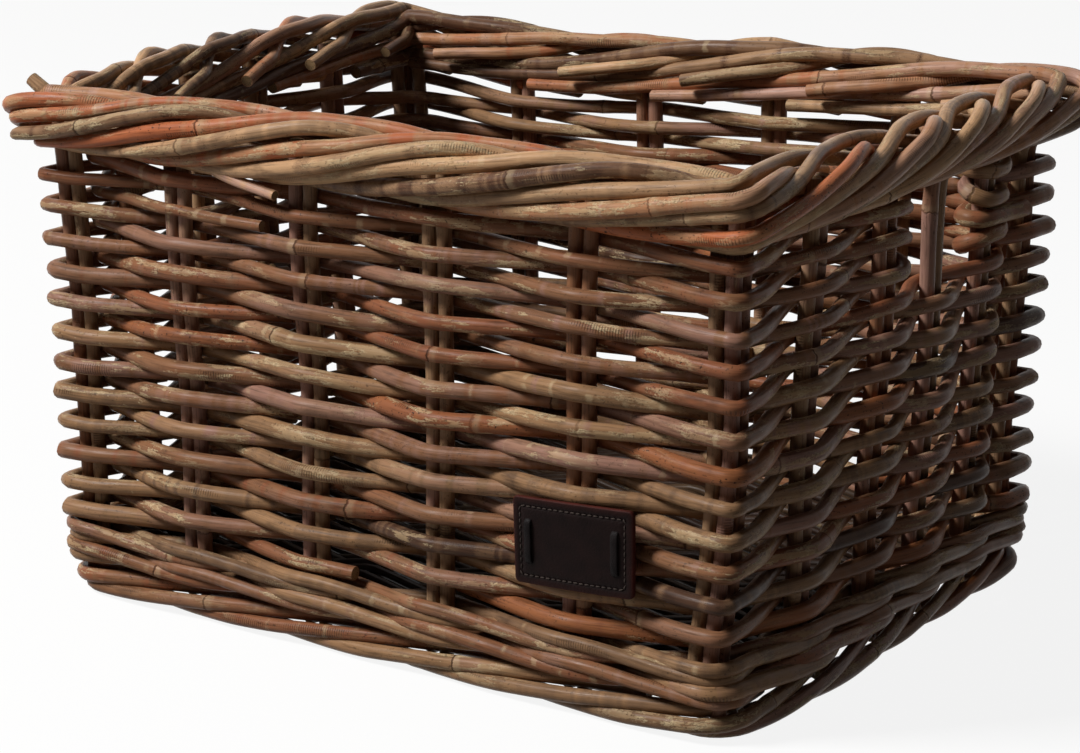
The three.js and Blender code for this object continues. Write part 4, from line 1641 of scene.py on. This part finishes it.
@dataclass
class Base:
    """The woven base: thin rods from side to side, over and under the base sticks, darkened with painted
    shade.
    """

    line: StakeLine
    sweep: RodSweep
    hand: HandMade
    finish: bpy.types.Material
    level: float = 24.5
    stick_count: int = 6
    stick_diameter: float = 7.2
    rod_diameter: float = 4.6
    rod_pitch: float = 4.75
    swing: float = 5.2
    clearance: float = 4.6
    # The darkest kinds of rod: painted shade on the floor of the basket
    kinds: tuple[Tone, ...] = (Tone.DARK, Tone.DARK, Tone.OLIVE)
    size: SweepSize = field(default_factory=lambda: SweepSize(step=7.0, sides=8, wander=0.6))

    def build(self) -> None:
        """Build the sticks and the rods woven on them."""
        half_x, half_y = self.line.half(self.level)
        half_x, half_y = half_x - self.clearance, half_y - self.clearance
        sticks = Bundle(111, self.stick_diameter, 0.2)
        places = [2 * half_x * ((i + 0.5) / self.stick_count - 0.5) for i in range(self.stick_count)]
        for i, x in enumerate(places):
            ends = np.linspace(-half_y, half_y, 9)
            rod = sticks.draw([Vector((x, y, self.level)) for y in ends], Tone.BROWN)
            node = "base_stick_%d" % (i + 1)
            hand_in(
                self.sweep.grow("rod_of_" + node, [rod], self.finish, self.size, self.hand), Slot.BASE, node,
            )
        bundle = Bundle(113, self.rod_diameter, 0.25)
        count = int(2 * (half_y - self.rod_diameter) / self.rod_pitch)
        rods = []
        for k in range(count + 1):
            y = -half_y + self.rod_diameter + (2 * half_y - 2 * self.rod_diameter) * k / count
            points = [Vector((-half_x + 1.5, y, self.level))]
            for i, x in enumerate(places):
                side = 1 if (i + k) % 2 == 0 else -1
                for shift in (-4.0, 4.0):
                    points.append(Vector((x + shift, y, self.level + side * self.swing)))
            points.append(Vector((half_x - 1.5, y, self.level)))
            rods.append(bundle.draw(points, bundle.chance.choice(self.kinds)))
        piece = self.sweep.grow("base_weave", rods, self.finish, self.size, self.hand)
        hand_in(piece, Slot.BASE, "base_panel")


class StitchRun:
    """The tree that sews a line of stitches along a path."""

    def __init__(self) -> None:
        """Build the tree."""
        self.tree = bpy.data.node_groups.new("stitch_run", "GeometryNodeTree")
        kinds = {
            "Path": "NodeSocketGeometry", "Pitch": "NodeSocketFloat", "Length": "NodeSocketFloat",
            "Thread": "NodeSocketFloat", "Finish": "NodeSocketMaterial",
        }
        self.sockets = {
            name: self.tree.interface.new_socket(name, in_out="INPUT", socket_type=kind).identifier
            for name, kind in kinds.items()
        }
        self.tree.interface.new_socket("Stitches", in_out="OUTPUT", socket_type="NodeSocketGeometry")
        self._wire()

    def _wire(self) -> None:
        """Wire the tree: one rounded bar at each step of the path, turned along it."""
        add = partial(add_node, self.tree)
        given = add("NodeGroupInput").outputs
        curve = add("GeometryNodeMeshToCurve", {"Mesh": given["Path"]})
        stepped = add("GeometryNodeResampleCurve", {"Curve": curve, "Length": given["Pitch"]}, mode="LENGTH")
        tangent = add("GeometryNodeInputTangent")
        turn = add("FunctionNodeAlignRotationToVector", {"Vector": tangent}, axis="X")
        bar = add("GeometryNodeMeshUVSphere", {"Segments": 8, "Rings": 6, "Radius": 1.0})
        half_length = add("ShaderNodeMath", {0: given["Length"], 1: 0.5}, operation="MULTIPLY")
        half_thread = add("ShaderNodeMath", {0: given["Thread"], 1: 0.5}, operation="MULTIPLY")
        scale = add("ShaderNodeCombineXYZ", {0: half_length, 1: half_thread, 2: half_thread})
        placed = add("GeometryNodeInstanceOnPoints", {
            "Points": stepped, "Instance": bar, "Rotation": turn, "Scale": scale,
        })
        real = add("GeometryNodeRealizeInstances", {0: placed})
        soft = add("GeometryNodeSetShadeSmooth", {0: real}, domain="FACE")
        dressed = add("GeometryNodeSetMaterial", {"Geometry": soft, "Material": given["Finish"]})
        add("NodeGroupOutput", {0: dressed})


@dataclass
class Label:
    """The bare leather label, stitched near its edge and laced to the front rods."""

    line: StakeLine
    hand: HandMade
    leather: bpy.types.Material
    lace: bpy.types.Material
    thread: bpy.types.Material
    width: float = 65.0
    height: float = 41.0
    thickness: float = 2.6
    corner_radius: float = 2.5
    group: int = 4
    shift: float = 5.7
    level: float = 80.0
    tilt: float = 3.0
    bow: float = 1.6
    back_reach: float = 11.4
    stitch_inset: float = 4.2
    stitch_pitch: float = 3.1
    stitch_length: float = 2.5
    thread_diameter: float = 0.75
    lace_width: float = 3.6
    lace_thickness: float = 1.3
    lace_span: float = 22.0
    lace_inset: float = 9.0

    def _place(self, x: float, y: float, out: float) -> Vector:
        """A point in the label's own frame.

        Args:
            x: along it from its middle.
            y: up from its middle.
            out: out of the wall, from its back.

        Returns:
            The point, in metres.
        """
        tilt = math.radians(self.tilt)
        along = x * math.cos(tilt) - y * math.sin(tilt)
        up = x * math.sin(tilt) + y * math.cos(tilt)
        bowed = out - self.bow * ((x / (self.width / 2)) ** 2 - 0.4) * (0.6 + 0.4 * (y / self.height))
        origin = self.line.beside(self.group, self.shift, 0, self.level)
        front = -self.line.half(self.level + self.height / 2)[1] - self.back_reach
        return Vector((origin.x + along, front - bowed, self.level + up)) * MM

    def _outline(self, inset: float, steps: int = 6, sides: int = 12) -> list[tuple[float, float]]:
        """The label's rounded outline, so far inside its edge.

        Args:
            inset: distance inside the edge.
            steps: steps of each rounded corner.
            sides: steps of each straight side.

        Returns:
            Places along and up, anticlockwise.
        """
        half_x, half_y = self.width / 2 - inset, self.height / 2 - inset
        radius = max(self.corner_radius - 0.6 * inset, 0.6)
        corners = []
        for k, (side_x, side_y) in enumerate(((1, 1), (-1, 1), (-1, -1), (1, -1))):
            centre_x, centre_y = side_x * (half_x - radius), side_y * (half_y - radius)
            arc = []
            for i in range(steps + 1):
                angle = (k + i / steps) * math.pi / 2
                arc.append((centre_x + radius * math.cos(angle), centre_y + radius * math.sin(angle)))
            corners.append(arc)
        points = []
        for k, arc in enumerate(corners):
            points += arc
            end, start = arc[-1], corners[(k + 1) % 4][0]
            for i in range(1, sides):
                share = i / sides
                points.append((end[0] + (start[0] - end[0]) * share, end[1] + (start[1] - end[1]) * share))
        return points

    def _plate(self) -> bpy.types.Object:
        """The leather plate, with rounded edges, a stitching groove and a raw edge.

        Returns:
            The piece.
        """
        thick = self.thickness
        groove = self.stitch_inset
        rings = [
            (0.5, 0.0, 1.0), (0.0, 0.5, 1.0), (0.0, thick - 0.7, 1.0), (0.25, thick - 0.2, 0.8),
            (0.8, thick, 0.15), (groove - 0.9, thick + 0.12, 0.0), (groove - 0.3, thick - 0.35, 0.0),
            (groove + 0.3, thick - 0.35, 0.0), (groove + 0.9, thick + 0.1, 0.0), (7.0, thick + 0.15, 0.0),
            (12.0, thick + 0.1, 0.0), (17.0, thick + 0.1, 0.0), (20.0, thick + 0.1, 0.0),
        ]
        points, faces, edge = [], [], []
        count = len(self._outline(0))
        for inset, out, raw in rings:
            for x, y in self._outline(inset):
                points.append(self._place(x, y, out))
                edge.append(raw)
        for ring in range(len(rings) - 1):
            for i in range(count):
                here, beyond = ring * count + i, ring * count + (i + 1) % count
                faces.append((here, beyond, beyond + count, here + count))
        last = (len(rings) - 1) * count
        faces.append(tuple(range(last, last + count)))
        faces.append(tuple(reversed(range(count))))
        mesh = bpy.data.meshes.new("label_leather")
        mesh.from_pydata(points, [], faces)
        mesh.attributes.new("edge", "FLOAT", "POINT").data.foreach_set("value", edge)
        mesh.materials.append(self.leather)
        mesh.shade_smooth()
        sway_mesh(mesh, self.hand)
        return put_in_scene("label_leather", mesh)

    def _stitches(self) -> bpy.types.Object:
        """The stitches in the groove.

        Returns:
            The piece.
        """
        run = StitchRun()
        outline = self._outline(self.stitch_inset)
        points = [self._place(x, y, self.thickness + 0.05) for x, y in outline]
        mesh = bpy.data.meshes.new("label_stitches")
        mesh.from_pydata(points, [(i, (i + 1) % len(points)) for i in range(len(points))], [])
        piece = put_in_scene("label_stitches", mesh)
        run_tree(piece, run.tree, run.sockets, {
            "Pitch": self.stitch_pitch * MM, "Length": self.stitch_length * MM,
            "Thread": self.thread_diameter * MM, "Finish": self.thread,
        })
        sway_mesh(piece.data, self.hand)
        return piece

    def _lace(self, name: str, side: int) -> bpy.types.Object:
        """A lace: a flat strip that lies on the label and turns in through its slots.

        Args:
            name: name of the piece.
            side: -1 for the left lace, 1 for the right one.

        Returns:
            The piece.
        """
        x = side * (self.width / 2 - self.lace_inset)
        half, thick = self.lace_span / 2, self.lace_thickness
        face = self.thickness + 0.1
        course = [
            (-half + thick / 2, -5.5), (-half + thick / 2, 0.5), (-half + thick / 2, face - 0.6),
            (-half + thick, face + 0.3), (-half + 2.2, face + thick * 0.75), (-half / 2, face + thick * 0.95),
            (0.0, face + thick * 0.8), (half / 2, face + thick * 0.95), (half - 2.2, face + thick * 0.75),
            (half - thick, face + 0.3), (half - thick / 2, face - 0.6), (half - thick / 2, 0.5),
            (half - thick / 2, -5.5),
        ]
        points, faces = [], []
        section = [(math.cos(a), math.sin(a)) for a in np.linspace(0, 2 * math.pi, 12, endpoint=False)]
        for i, (up, out) in enumerate(course):
            before, after = course[max(i - 1, 0)], course[min(i + 1, len(course) - 1)]
            tangent = Vector((after[0] - before[0], after[1] - before[1])).normalized()
            normal = Vector((-tangent.y, tangent.x))
            for across, high in section:
                flat = math.copysign(abs(across) ** 0.5, across) * self.lace_width / 2
                lift = math.copysign(abs(high) ** 0.7, high) * thick / 2
                points.append(self._place(x + flat, up + normal.x * lift, out + normal.y * lift))
        count = len(section)
        for ring in range(len(course) - 1):
            for i in range(count):
                here, beyond = ring * count + i, ring * count + (i + 1) % count
                faces.append((here, here + count, beyond + count, beyond))
        last = (len(course) - 1) * count
        faces.append(tuple(range(count)))
        faces.append(tuple(reversed(range(last, last + count))))
        mesh = bpy.data.meshes.new(name)
        mesh.from_pydata(points, [], faces)
        mesh.materials.append(self.lace)
        mesh.shade_smooth()
        sway_mesh(mesh, self.hand)
        return put_in_scene(name, mesh)

    def build(self) -> None:
        """Build the plate, its stitches and its laces."""
        hand_in(self._plate(), Slot.LABEL, "label")
        hand_in(self._stitches(), Slot.LABEL)
        for name, side in (("left", -1), ("right", 1)):
            hand_in(self._lace("lace_" + name, side), Slot.LACE, "label_lace_" + name)


@dataclass
class Studio:
    """The pale floor, the lamps and the camera."""

    camera_place: tuple[float, float, float] = (987.1, -1413.0, 588.1)
    yaw: float = -35.13
    pitch: float = -15.63
    roll: float = -0.32
    focal_length: float = 120.0
    sensor_width: float = 36.0
    lamp_place: tuple[float, float, float] = (-1.85, -1.88, 2.78)
    lamp_size: float = 1.0
    lamp_power: float = 184.0
    world_light: float = 0.02
    floor_size: float = 12.0
    floor_drop: float = 0.0005
    floor_glow: float = 0.88
    floor_lit: str = "#8f8e8c"
    floor_seen: str = "#efeeec"

    def camera(self) -> None:
        """Set up the camera at the photograph's viewing angle."""
        yaw, pitch, roll = (math.radians(a) for a in (self.yaw, self.pitch, self.roll))
        ahead = Vector((math.sin(yaw) * math.cos(pitch), math.cos(yaw) * math.cos(pitch), math.sin(pitch)))
        level = Vector((math.cos(yaw), -math.sin(yaw), 0))
        up = level.cross(ahead)
        right = level * math.cos(roll) + up * math.sin(roll)
        above = up * math.cos(roll) - level * math.sin(roll)
        data = bpy.data.cameras.new("camera")
        data.lens = self.focal_length
        data.sensor_width = self.sensor_width
        data.clip_start, data.clip_end = 0.05, 60.0
        camera = put_in_scene("camera", data)
        turn = Matrix((right, above, -ahead)).transposed().to_4x4()
        camera.matrix_world = Matrix.Translation(Vector(self.camera_place) * MM) @ turn
        bpy.context.scene.camera = camera

    def lamp(self) -> None:
        """Hang the lamp, a soft square high at the front left that faces the basket."""
        data = bpy.data.lights.new("key_lamp", "AREA")
        data.size = self.lamp_size
        data.energy = self.lamp_power
        lamp = put_in_scene("key_lamp", data)
        lamp.location = self.lamp_place
        aim = Vector((0, 0, 0.12)) - Vector(self.lamp_place)
        lamp.rotation_euler = aim.to_track_quat("-Z", "Y").to_euler()

    def _seen(self, tree: bpy.types.NodeTree) -> Node:
        """Tell what is looked at from what only lights the basket.

        Args:
            tree: the material's or the world's tree.

        Returns:
            A node that gives 1 to rays from the camera, in reflections and through glass, else 0.
        """
        add = partial(add_node, tree)
        path = add("ShaderNodeLightPath").outputs
        gloss = add("ShaderNodeMath", {
            0: path["Is Camera Ray"], 1: path["Is Glossy Ray"],
        }, operation="MAXIMUM")
        return add("ShaderNodeMath", {0: gloss, 1: path["Is Transmission Ray"]}, operation="MAXIMUM")

    def surroundings(self) -> None:
        """Make a world that looks white and lights the basket softly, and the floor."""
        white = (1.0, 1.0, 1.0, 1.0)
        world = bpy.data.worlds.new("studio")
        bpy.context.scene.world = world
        world.use_nodes = True
        world.node_tree.nodes.clear()
        add = partial(add_node, world.node_tree)
        soft = add("ShaderNodeBackground", {"Color": white, "Strength": self.world_light})
        bright = add("ShaderNodeBackground", {"Color": white, "Strength": 1.0})
        mixed = add("ShaderNodeMixShader", {0: self._seen(world.node_tree), 1: soft, 2: bright})
        add("ShaderNodeOutputWorld", {0: mixed})

        # Matt white floor: it looks paler than the light that it sends back, and keeps the basket's shadow
        material = bpy.data.materials.new("matt_white_floor")
        material.use_nodes = True
        material.node_tree.nodes.clear()
        add = partial(add_node, material.node_tree)
        lit = add("ShaderNodeBsdfDiffuse", {"Color": linear(self.floor_lit)})
        pale = add("ShaderNodeBsdfDiffuse", {"Color": linear(self.floor_seen)})
        glow = add("ShaderNodeEmission", {"Color": white, "Strength": 1.0})
        look = add("ShaderNodeMixShader", {0: self.floor_glow, 1: pale, 2: glow})
        mixed = add("ShaderNodeMixShader", {0: self._seen(material.node_tree), 1: lit, 2: look})
        add("ShaderNodeOutputMaterial", {0: mixed})
        half, level = self.floor_size / 2, -self.floor_drop
        mesh = bpy.data.meshes.new("floor")
        corners = [(x * half, y * half, level) for x, y in ((-1, -1), (1, -1), (1, 1), (-1, 1))]
        mesh.from_pydata(corners, [], [(0, 1, 2, 3)])
        mesh.materials.append(material)
        floor = put_in_scene("floor", mesh)

    def build(self) -> None:
        """Set up the studio."""
        bpy.context.scene.view_settings.view_transform = "Standard"
        self.camera()
        self.lamp()
        self.surroundings()


def main() -> None:
    """Build the studio and the basket, piece by piece."""
    Studio().build()
    line, sweep, hand = StakeLine(), RodSweep(), HandMade()
    weave_finish = RattanFinish("stained_kubu_rattan_weave", WEAVER_TONES).material()
    # The stake finish is pale with painted light
    stake_lit_finish = RattanFinish(
        "stained_kubu_rattan_stakes_painted_light", LIT_STAKE_TONES, bark_share=0.4, drift=0.5,
    ).material()
    border_finish = RattanFinish("stained_kubu_rattan_borders", BORDER_TONES, bark_share=0.5).material()
    # The base finish is dark with painted shade
    base_shade_finish = RattanFinish("stained_kubu_rattan_base_painted_shade", SHADED_BASE_TONES, bark_share=0.3).material()
    leather = LeatherFinish("pressed_dark_leather", "#140b0a", "#3f1b16").material()
    lace = LeatherFinish("black_leather_lace", "#141010", "#141010", grain=0.7, roughness=0.45).material()
    thread = LeatherFinish(
        "waxed_dark_grey_thread", "#3d3531", "#3d3531", grain=0.4, roughness=0.7,
    ).material()
    Stakes(line, sweep, hand, stake_lit_finish).build()
    Weave(line, sweep, hand, weave_finish).build()
    Rim(line, sweep, hand, border_finish).build()
    Foot(line, sweep, hand, weave_finish).build()
    Base(line, sweep, hand, base_shade_finish).build()
    Label(line, hand, leather, lace, thread).build()


if __name__ == "__main__":
    main()
